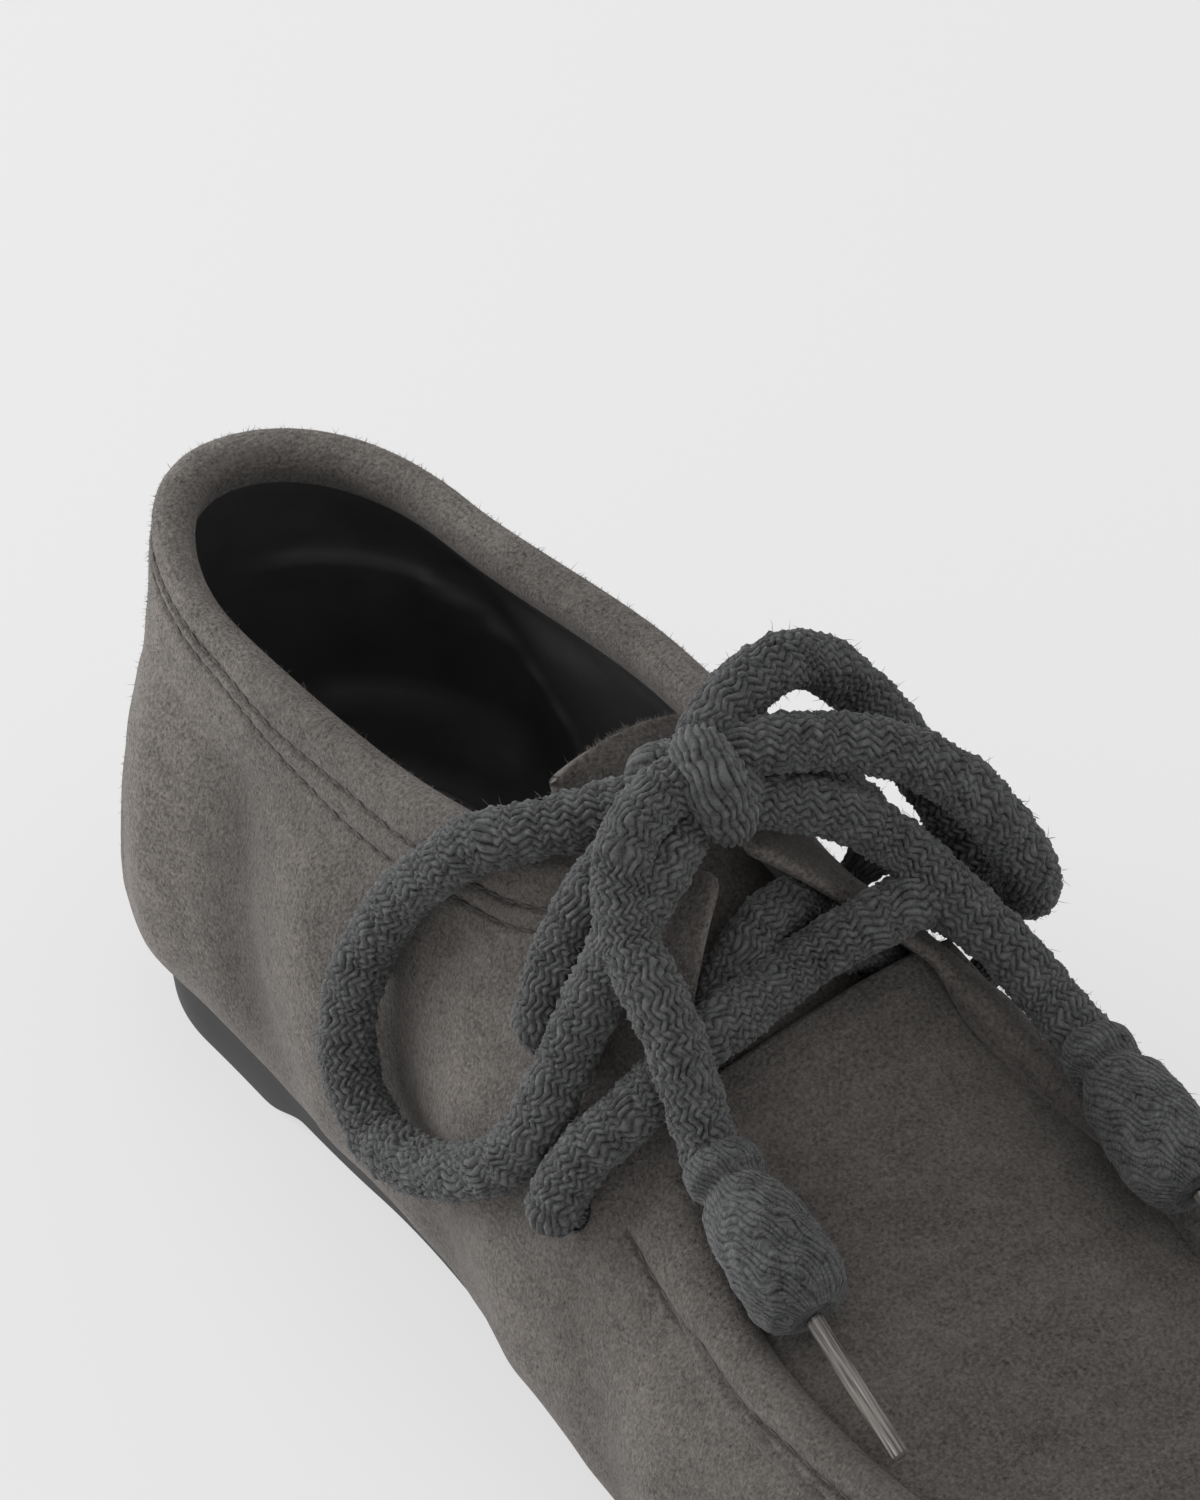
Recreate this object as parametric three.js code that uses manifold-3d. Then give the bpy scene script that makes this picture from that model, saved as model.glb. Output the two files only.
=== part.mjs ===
// Low lace-up moccasin shoe for the right foot, in millimetres, +Z up, toe towards +X.
// A one-piece suede wall rises from the sole to a padded collar and two lacing tabs, and its edge
// is sewn as a raised ridge over a flat plug on the toe. The origin is on the floor under the middle
// of the shoe. Along means the distance from the back of the heel, and the sides are lateral (-Y)
// and medial (+Y).
import * as THREE from 'three';
import { mergeVertices } from 'three/addons/utils/BufferGeometryUtils.js';
import Module from 'manifold-3d';

// Driving dimensions of the last
const length = 282;
const ballWidth = 102;
const heelWidth = 72;
const heelRound = 36;
const toeRound = 78;
const backHeight = 78;
const sideHeight = 73;
const tabHeight = 84.4;
const throatHeight = 62;
const toeHeight = 37;
const heelBulge = 27;
const foreBulge = 17;
const tabAlong = 132;
const throatAlong = 148;
const tabGap = 6;
const throatWidth = 49;
const plugWidth = 63;
const seamLean = 3.7;
const toeWall = 24;
const collarWidth = 46;
const collarRound = 30;
const backLean = 3.5;
const leanEnd = 60;
const lastBend = 0.015;
const tabTilt = 1.2;
const throatTilt = 2.5;

// Where the last's levels change along the shoe
const waistAlong = 50;
const archEnd = 125;
const sideAlong = 130;
const foreStart = 115;
const foreWallAlong = 190;
const foreAlong = 200;
const springAlong = 205;

// Turn of the wall's arc between the bulge and the edge, in degrees: heel, tabs and forepart
const heelBend = 48;
const tabBend = 62;
const foreBend = 74;

// Powers of the curves that round the outline, slant the facing and pull the seam back at the toe
const heelPower = 2.1;
const toePower = 2.4;
const collarPower = 3;
const facingPower = 0.85;
const toeWallPower = 1.6;

// Driving dimensions of the materials
const wall = 2.2;
const rollRadius = 3.2;
const facingRadius = 1.2;
const ridgeRadius = 2.8;
const rollFade = 16;
const facingFull = 2;
const ridgeStart = 1;
const ridgeFull = 8;
const toeWallStart = 10;
const underlap = 6;
const featherInset = 8.6;
const margin = 9;
const clearance = 0.3;

// Driving dimensions of the sole and the insole
const heelThickness = 11.6;
const waistThickness = 9;
const foreThickness = 7;
const toeSpring = 7;
const breastAlong = 52;
const breastStep = 3.5;
const breastRun = 5;
const soleOverhang = 2.5;
const soleDraft = 1;
const insoleThickness = 4;
const insoleInset = 1.4;

// Driving dimensions of the tongue and the laces
const plugThickness = 2;
const plugDrop = 0.2;
const tongueThickness = 2.6;
const tongueTipAlong = 107;
const tongueTipHeight = 93;
const tongueBase = 52.6;
const tongueSeat = 9;
const tongueWidth = 44;
const laceRadius = 4.2;
const pressedRadius = 2.5;
const shownRadius = 3.8;
const eyeletClearance = 0.5;
const seat = 0.8;
const knotSize = [15, 18, 14];
const stopperRadius = 8;
const agletRadius = 1.6;

// Fineness of the faceted cords, rods and balls
const cordSides = 10;
const cordPitch = 17;
const wrapPitch = 4;
const rodSides = 12;
const ballSides = [8, 6];
const knotSides = [12, 8];
const mergeDistance = 1e-4;

// Where the four eyelets lie on the wall
const eyelets = [
  { name: 'lateral_lower', side: -1, along: 143.5, share: 0.52 },
  { name: 'lateral_upper', side: -1, along: 128, share: 0.63 },
  { name: 'medial_lower', side: 1, along: 143.5, share: 0.52 },
  { name: 'medial_upper', side: 1, along: 128, share: 0.63 },
];

// The lace's route, chosen by hand: along, sideways and up
const barRoute = [[144.6, -36.2, 58.9], [146.2, -33.2, 62.2], [148, -28.5, 66.6], [148.5, -22, 70.9],
  [147.6, -15, 72.3], [145, -5, 71.5], [144, 4, 72.5], [146, 12, 75.6], [147.2, 20, 76.9],
  [145.4, 27, 72.3], [144, 33, 65.5]];
const legRoute = [[141.8, -28.8, 52.5], [140.6, -25.7, 55.8], [140, -21.4, 60.7], [139.8, -16.5, 64.3],
  [139.5, -11, 67.6], [138.5, -6, 71], [137, -1, 73], [136, 4, 74], [135, 9, 73], [133.5, 14, 69.8],
  [132, 18, 66]];
const shownLegRoute = [[139.5, -8.5, 70], [138.5, -4, 73], [137, 0, 75], [136, 4, 75.5], [135, 7.5, 75]];
const archRoute = [[126.8, -26.6, 78], [126.8, -22, 85.5], [126.5, -15, 90.5], [127, -7, 92.6],
  [127, 7, 92.6], [126.5, 16, 88.6], [126, 23.5, 82]];
const wrapRoute = [[133.2, -1.2, 93.9], [135.2, -3.2, 97.7], [133.5, -4.1, 101.8], [129.4, -3.2, 103.5],
  [125.7, -1, 101.4]];
const knotMiddle = [128, 0, 97.5];
const lateralLoopRoute = [[121.5, -7.5, 93], [117, -13.5, 90.6], [112, -19.8, 87.8], [105.5, -25.8, 84],
  [101, -28.9, 78.3], [96.5, -31.3, 72.2], [92.5, -36, 60.6], [92.3, -40, 49.5], [95.7, -41.8, 41.8],
  [103.4, -43.2, 37.5], [113.5, -43.8, 39], [123, -43.1, 43.8], [130.5, -41.8, 50], [135.3, -38.8, 57.5],
  [136, -35.2, 64.5], [136.2, -31, 72], [136.4, -27.3, 79], [136.3, -22.5, 86.5], [134, -14, 92],
  [131, -8, 94]];
const lateralEndRoute = [[129.3, -3.6, 98.4], [128.9, -8, 100.2], [129.9, -12.8, 100], [131.6, -18.2, 97.2],
  [134, -21, 91.4], [138.2, -23, 86.6], [144.3, -24.4, 83.6], [150, -25, 79.2], [153.9, -25.6, 74.6],
  [156.8, -25.8, 69.4], [160, -26, 64.6]];
const medialLoopRoute = [[128.7, 4, 101.3], [131, 9, 101], [132.5, 16, 99], [137, 24, 96.3],
  [142.5, 32.5, 89.4], [146, 37.5, 81.5], [147.2, 41.5, 72.5], [144.5, 44.5, 64.5], [137, 45.5, 61],
  [129.5, 44.5, 66], [123.5, 41, 76], [119.6, 35, 88], [118.6, 27, 98.5], [119.6, 19.5, 103.6],
  [122.3, 9.4, 105.2], [124.2, 2.6, 103.2], [125, 0, 100]];
const medialEndRoute = [[131.3, 2.6, 94.6], [134.2, 8.5, 92.6], [138.5, 15, 90], [141.8, 20.5, 84.9],
  [146.8, 25, 78.2], [151.6, 27.5, 73.5], [156.3, 30, 69.4], [163, 32.2, 63.8], [171, 32.6, 60.8]];
const lateralStopper = { from: [160, -26, 64.6], to: [187, -29.2, 54.6] };
const medialStopper = { from: [171, 32.6, 60.8], to: [200.5, 28.6, 55] };
const lateralAglet = { from: [187, -29.2, 54.6], to: [208.5, -31.2, 45.8] };
const medialAglet = { from: [200.5, 28.6, 55], to: [222, 29, 44.3] };

// Half width of the last at the bulge: shares of half the heel width and of half the ball width
const lateralOutline = [
  { at: 0, heel: 0.97, ball: 0 },
  { at: 0.14, heel: 1, ball: 0 },
  { at: 0.3, heel: 1.06, ball: 0 },
  { at: 0.42, heel: 0.6, ball: 0.38 },
  { at: 0.64, heel: 0, ball: 0.98 },
  { at: 0.78, heel: 0, ball: 0.94 },
  { at: 1, heel: 0, ball: 0.78 },
];
const medialOutline = [
  { at: 0, heel: 0.97, ball: 0 },
  { at: 0.14, heel: 1, ball: 0 },
  { at: 0.3, heel: 0.94, ball: 0 },
  { at: 0.42, heel: 0.55, ball: 0.32 },
  { at: 0.6, heel: 0, ball: 0.96 },
  { at: 0.74, heel: 0, ball: 0.99 },
  { at: 1, heel: 0, ball: 0.88 },
];

// The collar edge between the back of the heel and the tab corner: half width as shares of half the
// collar width, height as shares of the back, side and tab heights
const collarTable = [
  { at: 0, lateral: 0.8, medial: 0.98, tab: 0, back: 1, side: 0, top: 0 },
  { at: 0.28, lateral: 0.88, medial: 1.06, tab: 0, back: 0, side: 1, top: 0 },
  { at: 0.55, lateral: 0.93, medial: 1.14, tab: 0, back: 0, side: 0.86, top: 0.14 },
  { at: 0.82, lateral: 0.8, medial: 0.88, tab: 0, back: 0, side: 0.5, top: 0.5 },
  { at: 1, lateral: 0, medial: 0, tab: 1, back: 0, side: 0, top: 1 },
];

// The ridge seam between the throat corner and the toe: half width as shares of half the throat
// width, half the plug width and, on the lateral side, the seam's lean, and height as shares of the
// throat and toe heights
const seamTable = [
  { at: 0, throat: 1, plug: 0, lean: 0, high: 1, low: 0 },
  { at: 0.12, throat: 0.3, plug: 0.66, lean: 0.3, high: 0.7, low: 0.25 },
  { at: 0.38, throat: 0, plug: 1.02, lean: 1, high: 0.26, low: 0.8 },
  { at: 0.66, throat: 0, plug: 0.98, lean: 0.7, high: 0.05, low: 0.98 },
  { at: 1, throat: 0, plug: 0.86, lean: 0, high: 0, low: 0.93 },
];

// The sole's underside between the heel breast and the toe tip
const undersideTable = [
  { at: 0, step: 1, spring: 0 },
  { at: 0.2, step: 1.15, spring: 0 },
  { at: 0.46, step: 0.2, spring: 0 },
  { at: 0.5, step: 0, spring: 0 },
  { at: 0.68, step: 0, spring: 0 },
  { at: 0.84, step: 0, spring: 0.3 },
  { at: 1, step: 0, spring: 1 },
];

// The tongue from its seat under the plug to its tip: height as a share of its rise, half width as a
// share of half its width, and drop at the sides in tongue widths
const tongueTable = [
  { at: 0, rise: 0, width: 0.9, sag: 0.036 },
  { at: 0.18, rise: 0.12, width: 1, sag: 0.1 },
  { at: 0.36, rise: 0.31, width: 0.96, sag: 0.2 },
  { at: 0.52, rise: 0.51, width: 0.9, sag: 0.36 },
  { at: 0.7, rise: 0.7, width: 0.8, sag: 0.4 },
  { at: 0.84, rise: 0.82, width: 0.59, sag: 0.28 },
  { at: 0.95, rise: 0.95, width: 0.58, sag: 0.14 },
  { at: 1, rise: 1, width: 0.54, sag: 0.07 },
];

const wasm = await Module();
wasm.setup();

// Value of one column of a table at a place, on a curve through the rows that never overshoots
function read(rows, column, place) {
  const xs = rows.map((row) => row.at);
  const ys = rows.map((row) => row[column]);
  const last = xs.length - 1;
  const x = Math.min(Math.max(place, xs[0]), xs[last]);
  const step = xs.slice(1).map((value, i) => value - xs[i]);
  const slope = step.map((width, i) => (ys[i + 1] - ys[i]) / width);
  const tangent = ys.map((_, i) => {
    if (i === 0) return slope[0];
    if (i === last) return slope[last - 1];
    if (slope[i - 1] * slope[i] <= 0) return 0;
    const before = 2 * step[i] + step[i - 1];
    const after = step[i] + 2 * step[i - 1];
    return (before + after) / (before / slope[i - 1] + after / slope[i]);
  });
  let i = 0;
  while (i < last - 1 && x > xs[i + 1]) i += 1;
  const t = (x - xs[i]) / step[i];
  const start = (2 * t ** 3 - 3 * t ** 2 + 1) * ys[i] + (t ** 3 - 2 * t ** 2 + t) * step[i] * tangent[i];
  const end = (3 * t ** 2 - 2 * t ** 3) * ys[i + 1] + (t ** 3 - t ** 2) * step[i] * tangent[i + 1];
  return start + end;
}

// Smooth rise from 0 to 1 while x goes from one value to another
function ease(x, from, to) {
  const t = Math.min(Math.max((x - from) / (to - from), 0), 1);
  return t * t * (3 - 2 * t);
}

// Share of the full width left by the rounding of the heel and the toe
function rounding(along, heel, toe, power = toePower) {
  const back = Math.min(Math.max(1 - along / heel, 0), 1);
  const front = Math.min(Math.max((along - length + toe) / toe, 0), 1);
  return Math.sqrt(1 - back ** heelPower) * (1 - front ** power) ** (1 / heelPower);
}

function middle(along) {
  return (lastBend * ballWidth * (throatAlong - along)) / length;
}

function featherHeight(along) {
  const rise = toeSpring * ease(along, springAlong, length);
  const front = waistThickness + (foreThickness - waistThickness) * ease(along, foreStart, foreAlong);
  return heelThickness + (front - heelThickness) * ease(along, waistAlong, archEnd) + rise;
}

function bulgeHeight(along) {
  const fore = heelBulge + (foreBulge - heelBulge) * ease(along, waistAlong, foreAlong);
  return fore + toeSpring * ease(along, springAlong, length);
}

// The point of the last's widest line at a place along one side
function bulgePoint(side, along) {
  const rows = side < 0 ? lateralOutline : medialOutline;
  const place = along / length;
  const half = read(rows, 'heel', place) * heelWidth / 2 + read(rows, 'ball', place) * ballWidth / 2;
  const y = middle(along) + side * half * rounding(along, heelRound, toeRound);
  return new THREE.Vector3(along, y, bulgeHeight(along));
}

// The point of the wall's upper edge: collar, tab, facing and seam
function edgePoint(side, along) {
  const column = side < 0 ? 'lateral' : 'medial';
  const tabTop = tabHeight + side * tabTilt;
  const throatTop = throatHeight + side * throatTilt;
  let half;
  let height;
  if (along <= tabAlong) {
    const place = along / tabAlong;
    half = read(collarTable, column, place) * collarWidth / 2
      + read(collarTable, 'tab', place) * tabGap / 2;
    height = read(collarTable, 'back', place) * backHeight
      + read(collarTable, 'side', place) * sideHeight
      + read(collarTable, 'top', place) * tabTop;
  } else if (along <= throatAlong) {
    const place = (along - tabAlong) / (throatAlong - tabAlong);
    half = (tabGap + (throatWidth - tabGap) * place ** facingPower) / 2;
    height = tabTop + (throatTop - tabTop) * place;
  } else {
    const place = (along - throatAlong) / (length - toeWall - throatAlong);
    const lean = side < 0 ? seamLean : 0;
    half = read(seamTable, 'throat', place) * throatWidth / 2
      + read(seamTable, 'plug', place) * plugWidth / 2
      + read(seamTable, 'lean', place) * lean;
    height = read(seamTable, 'high', place) * throatTop + read(seamTable, 'low', place) * toeHeight;
  }
  const y = middle(along) + side * half * rounding(along, collarRound, toeRound, collarPower);
  return new THREE.Vector3(edgeAlong(along), y, height);
}

// Radius of the edge: padded roll on the collar, thin on the tabs, a ridge along the seam
function edgeRadius(along) {
  const thinning = ease(along, tabAlong - rollFade, tabAlong - facingFull);
  const rising = ease(along, throatAlong - ridgeStart, throatAlong + ridgeFull);
  return rollRadius + (facingRadius - rollRadius) * thinning + (ridgeRadius - facingRadius) * rising;
}

// Places along the shoe, close together where the outline turns
function stations() {
  const places = [];
  const heelSteps = 8;
  const toeSteps = 9;
  for (let i = 0; i < heelSteps; i += 1) {
    places.push(heelRound * (1 - Math.cos((i / heelSteps) * Math.PI / 2)));
  }
  const spans = [
    { from: heelRound, to: tabAlong, steps: 9 },
    { from: tabAlong, to: throatAlong, steps: 5 },
    { from: throatAlong, to: length - toeRound, steps: 6 },
  ];
  spans.forEach(({ from, to, steps }) => {
    for (let i = 0; i < steps; i += 1) places.push(from + (to - from) * (i / steps));
  });
  for (let i = 0; i <= toeSteps; i += 1) {
    places.push(length - toeRound * (1 - Math.sin((i / toeSteps) * Math.PI / 2)));
  }
  return places;
}

// The edge and the bulge don't end at the same place, so the edge runs on its own scale
function edgeAlong(along) {
  const start = backLean * (1 - ease(along, 0, leanEnd));
  const end = toeWall * ease(along, throatAlong + toeWallStart, length) ** toeWallPower;
  return along + start - end;
}

// Ring of places round the shoe: lateral from heel to toe, then medial back to the heel
function ringOf(list) {
  return [
    ...list.map((along) => ({ side: -1, along })),
    ...list.slice(1, -1).reverse().map((along) => ({ side: 1, along })),
  ];
}

function loopStep(points, i) {
  const next = points[(i + 1) % points.length];
  const before = points[(i + points.length - 1) % points.length];
  return next.clone().sub(before);
}

// The directions that point out of a ring of points, level with the floor
function outwardOf(points) {
  return points.map((_, i) => {
    const t = loopStep(points, i);
    return new THREE.Vector3(t.y, -t.x, 0).normalize();
  });
}

const places = stations();
const ring = ringOf(places);
const around = ring.length;
const bulge = ring.map(({ side, along }) => bulgePoint(side, along));
const outward = outwardOf(bulge);
const edge = ring.map(({ side, along }) => edgePoint(side, along));

// A point of the wall between the bulge (share 0) and the upper edge (share 1)
function wallPoint(low, high, along, share) {
  const backTurn = heelBend + (tabBend - heelBend) * ease(along, waistAlong, sideAlong);
  const bend = THREE.MathUtils.degToRad(
    backTurn + (foreBend - tabBend) * ease(along, sideAlong, foreWallAlong),
  );
  const inward = (1 - Math.cos(bend * share)) / (1 - Math.cos(bend));
  const upward = Math.sin(bend * share) / Math.sin(bend);
  return low.clone().lerp(high, inward).setZ(low.z + (high.z - low.z) * upward);
}

function wallRing(share) {
  return ring.map(({ along }, i) => wallPoint(bulge[i], edge[i], along, share));
}

// One ring of the wall's foot: turn 0 is the feather line and turn 1 the bulge
function footRing(turn) {
  const angle = turn * Math.PI / 2;
  return ring.map((_, i) => {
    const point = bulge[i].clone().addScaledVector(outward[i], -featherInset * (1 - Math.sin(angle)));
    const low = featherHeight(point.x);
    point.z = low + (bulge[i].z - low) * (1 - Math.cos(angle));
    return point;
  });
}

// Rings moved along the surface normals of a grid of rings
function normals(rings) {
  return rings.map((points, j) => points.map((_, i) => {
    const up = rings[Math.min(j + 1, rings.length - 1)][i].clone().sub(rings[Math.max(j - 1, 0)][i]);
    return loopStep(points, i).cross(up).normalize();
  }));
}

function shifted(points, directions, distances) {
  return points.map((point, i) => point.clone().addScaledVector(directions[i], distances[i]));
}

// Closed body through a list of rings, joined round and then end to end
function toGeometry(points, triangles) {
  const geometry = new THREE.BufferGeometry();
  const position = new Float32Array(points.length * 3);
  points.forEach((point, i) => point.toArray(position, i * 3));
  geometry.setAttribute('position', new THREE.BufferAttribute(position, 3));
  geometry.setIndex(triangles);
  return geometry;
}

function ringQuads(rows, columns, closedRows) {
  const triangles = [];
  const count = closedRows ? rows : rows - 1;
  for (let j = 0; j < count; j += 1) {
    const k = (j + 1) % rows;
    for (let i = 0; i < columns; i += 1) {
      const n = (i + 1) % columns;
      triangles.push(j * columns + i, j * columns + n, k * columns + n);
      triangles.push(j * columns + i, k * columns + n, k * columns + i);
    }
  }
  return triangles;
}

// Same geometry with equal points merged and flat triangles left out
function cleaned(geometry) {
  geometry.deleteAttribute('normal');
  geometry.deleteAttribute('uv');
  const merged = mergeVertices(geometry, mergeDistance);
  const index = Array.from(merged.getIndex().array);
  const kept = [];
  for (let i = 0; i < index.length; i += 3) {
    const [a, b, c] = index.slice(i, i + 3);
    if (a !== b && b !== c && c !== a) kept.push(a, b, c);
  }
  merged.setIndex(kept);
  return merged;
}

function toManifold(geometry) {
  const merged = cleaned(geometry);
  return new wasm.Manifold(new wasm.Mesh({
    numProp: 3,
    vertProperties: new Float32Array(merged.getAttribute('position').array),
    triVerts: new Uint32Array(merged.getIndex().array),
  }));
}

function fromManifold(solid) {
  const { vertProperties, triVerts } = solid.getMesh();
  const geometry = new THREE.BufferGeometry();
  geometry.setAttribute('position', new THREE.BufferAttribute(new Float32Array(vertProperties), 3));
  geometry.setIndex(Array.from(triVerts));
  return geometry;
}

// Closed sheet: a grid of points on its upper side, given a thickness below
function sheetGeometry(grid, thickness) {
  const rows = grid.length;
  const columns = grid[0].length;
  const at = (list, i) => list[Math.min(Math.max(i, 0), list.length - 1)];
  const under = grid.map((row, j) => row.map((point, i) => {
    const across = at(row, i + 1).clone().sub(at(row, i - 1));
    const lengthways = at(grid, j + 1)[i].clone().sub(at(grid, j - 1)[i]);
    const normal = across.cross(lengthways).normalize();
    return point.clone().addScaledVector(normal, -thickness);
  }));
  const loops = grid.map((row, j) => [...row, ...under[j].slice().reverse()]);
  const count = 2 * columns;
  const triangles = ringQuads(rows, count, false);
  for (let i = 0; i < columns - 1; i += 1) {
    const back = [i, i + 1, count - 2 - i, count - 1 - i];
    const front = back.map((index) => index + (rows - 1) * count);
    triangles.push(back[0], back[2], back[1], back[0], back[3], back[2]);
    triangles.push(front[0], front[1], front[2], front[0], front[2], front[3]);
  }
  return toGeometry(loops.flat(), triangles);
}

// The wall's rings with their normals, and the directions that run up over its edge
const footTurns = [0, 0.34, 0.67];
const wallShares = [0, 0.2, 0.4, 0.6, 0.78, 0.9, 1];
const wallRings = [...footTurns.map(footRing), ...wallShares.map(wallRing)];
const wallNormals = normals(wallRings);
const topNormals = wallNormals[wallNormals.length - 1];
const overEdge = topNormals.map((normal, i) => normal.clone().cross(loopStep(edge, i)).normalize());

// The wall: a shell from the lasting margin up to the edge and down again inside
function wallGeometry() {
  const radius = ring.map(({ along }) => edgeRadius(along));
  const swell = wallRings.map((_, j) => ease(wallShares[j - footTurns.length] ?? 0, 0.7, 1));
  const outer = wallRings.map((points, j) => shifted(
    points,
    wallNormals[j],
    radius.map((r) => r * swell[j]),
  ));
  const inner = wallRings.map((points, j) => shifted(
    points,
    wallNormals[j],
    radius.map((r) => -wall - (r - wall) * swell[j]),
  ));
  inner[0] = wallRings[0].map((point) => point.clone().setZ(point.z + wall));
  const cap = [45, 90, 135].map((degrees) => {
    const angle = THREE.MathUtils.degToRad(degrees);
    return edge.map((point, i) => point.clone()
      .addScaledVector(topNormals[i], radius[i] * Math.cos(angle))
      .addScaledVector(overEdge[i], radius[i] * Math.sin(angle)));
  });
  const lip = shifted(wallRings[0], outward, ring.map(() => -margin))
    .map((point) => point.setZ(featherHeight(point.x)));
  const lipTop = lip.map((point) => point.clone().setZ(point.z + wall));
  const rows = [lip, ...outer, ...cap, ...inner.reverse(), lipTop];
  return toGeometry(rows.flat(), ringQuads(rows.length, around, true));
}

// The plug: a crowned sheet between the two seams, its border hidden under the ridge
function plugGeometry() {
  const first = places.findIndex((along) => along >= throatAlong);
  const columns = 10;
  const grid = [];
  const border = (i) => edge[i].clone()
    .addScaledVector(overEdge[i], -underlap)
    .addScaledVector(topNormals[i], -plugDrop);
  for (let i = first; i < places.length; i += 1) {
    const j = (around - i) % around;
    const from = border(i);
    const to = border(j);
    const pull = from.distanceTo(to);
    const start = overEdge[i].clone().setX(0).multiplyScalar(pull);
    const end = overEdge[j].clone().setX(0).multiplyScalar(-pull);
    const row = [];
    for (let k = 0; k <= columns; k += 1) {
      const t = k / columns;
      row.push(from.clone().multiplyScalar(2 * t ** 3 - 3 * t ** 2 + 1)
        .addScaledVector(start, t ** 3 - 2 * t ** 2 + t)
        .addScaledVector(to, 3 * t ** 2 - 2 * t ** 3)
        .addScaledVector(end, t ** 3 - t ** 2));
    }
    grid.push(row.reverse());
  }
  return sheetGeometry(grid, plugThickness);
}

// Level slab between two outlines: the whole ring is joined to a shared middle line above and below.
// Each level has its inset from the bulge and a height worked out from along and from x itself.
function slabGeometry(list, levels) {
  const shape = ringOf(list);
  const outline = shape.map(({ side, along }) => bulgePoint(side, along));
  const out = outwardOf(outline);
  const rows = levels.map(({ inset, height }) => shape.map(({ along }, i) => {
    const point = outline[i].clone().addScaledVector(out[i], -inset);
    return point.setZ(height({ along, x: point.x }));
  }));
  const spine = (row, height) => shape.map(({ along }) => {
    const heel = row[0].x;
    const toe = row[list.length - 1].x;
    const x = heel + (toe - heel) * along / length;
    return new THREE.Vector3(x, middle(along), height({ along, x }));
  });
  const lowest = spine(rows[0], levels[0].height);
  const highest = spine(rows[rows.length - 1], levels[levels.length - 1].height);
  const closed = [lowest, ...rows, highest];
  return cleaned(toGeometry(closed.flat(), ringQuads(closed.length, shape.length, false)));
}

function underside(along) {
  if (along <= breastAlong) return 0;
  const place = (along - breastAlong) / (length - breastAlong);
  return read(undersideTable, 'step', place) * breastStep
    + read(undersideTable, 'spring', place) * toeSpring;
}

function outsoleGeometry() {
  const list = places.filter((along) => Math.abs(along - breastAlong) > breastRun);
  list.push(breastAlong, breastAlong + breastRun);
  list.sort((a, b) => a - b);
  const inset = featherInset - soleOverhang;
  return slabGeometry(list, [
    { inset: inset + soleDraft, height: ({ along }) => underside(along) },
    { inset, height: ({ along }) => underside(along) + soleDraft },
    { inset, height: ({ x }) => featherHeight(x) - clearance },
  ]);
}

function insoleGeometry() {
  const inset = featherInset + insoleInset;
  const bed = ({ x }) => featherHeight(x) + wall + clearance;
  return slabGeometry(places, [
    { inset, height: bed },
    { inset, height: ({ x }) => bed({ x }) + insoleThickness },
  ]);
}

// The tongue: an arched sheet from under the plug up behind the tabs
function tongueGeometry() {
  const halfColumns = 5;
  const grid = tongueTable.map(({ at, rise, width, sag }) => {
    const along = throatAlong + tongueSeat + (tongueTipAlong - throatAlong - tongueSeat) * at;
    const height = tongueBase + (tongueTipHeight - tongueBase) * rise;
    const half = width * tongueWidth / 2;
    const row = [];
    for (let k = -halfColumns; k <= halfColumns; k += 1) {
      const t = k / halfColumns;
      row.push(new THREE.Vector3(along, middle(along) + half * t, height - sag * tongueWidth * t * t));
    }
    return row;
  });
  return sheetGeometry(grid, tongueThickness);
}

// Straight round body between two points
function rodGeometry(from, to, profile) {
  const start = new THREE.Vector3(...from);
  const axis = new THREE.Vector3(...to).sub(start);
  const points = profile.map(([r, h]) => new THREE.Vector2(r, h));
  const geometry = new THREE.LatheGeometry(points, rodSides);
  const turn = new THREE.Quaternion().setFromUnitVectors(new THREE.Vector3(0, 1, 0), axis.normalize());
  return geometry.applyQuaternion(turn).translate(start.x, start.y, start.z);
}

function spanOf({ from, to }) {
  return new THREE.Vector3(...from).distanceTo(new THREE.Vector3(...to));
}

// Round cord along a route, with a section about one pitch after the other
function cordGeometry(route, radius, pitch = cordPitch) {
  const points = route.map((point) => new THREE.Vector3(...point));
  const curve = new THREE.CatmullRomCurve3(points, false, 'centripetal');
  const outline = [];
  for (let i = 0; i < cordSides; i += 1) {
    const angle = (i / cordSides) * 2 * Math.PI;
    outline.push(new THREE.Vector2(radius * Math.cos(angle), radius * Math.sin(angle)));
  }
  const steps = Math.max(2, Math.round(curve.getLength() / pitch));
  const settings = { steps, extrudePath: curve, curveSegments: 1 };
  return new THREE.ExtrudeGeometry(new THREE.Shape(outline), settings);
}

// Frame of an eyelet: its middle on the wall and the direction out of the shoe
function eyeletFrame({ side, along, share }) {
  const at = (a, s) => wallPoint(bulgePoint(side, a), edgePoint(side, a), a, s);
  const stepAlong = 1;
  const stepUp = 0.02;
  const middlePoint = at(along, share);
  const forward = at(along + stepAlong, share).sub(at(along - stepAlong, share));
  const up = at(along, share + stepUp).sub(at(along, share - stepUp));
  return { middlePoint, out: forward.cross(up).multiplyScalar(-side).normalize() };
}

function beyond({ middlePoint, out }, distance) {
  return middlePoint.clone().addScaledVector(out, distance).toArray();
}

const frames = Object.fromEntries(eyelets.map((eyelet) => [eyelet.name, eyeletFrame(eyelet)]));
const eyeletDepth = 3 * wall;

function eyeletCutter(frame) {
  const radius = pressedRadius + eyeletClearance;
  const depth = 2 * eyeletDepth;
  const profile = [[0, 0], [radius, 0], [radius, depth], [0, depth]];
  return rodGeometry(beyond(frame, -eyeletDepth), beyond(frame, eyeletDepth), profile);
}

function mirrored(route) {
  return route.map(([along, sideways, up]) => [along, -sideways, up]);
}

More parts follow.
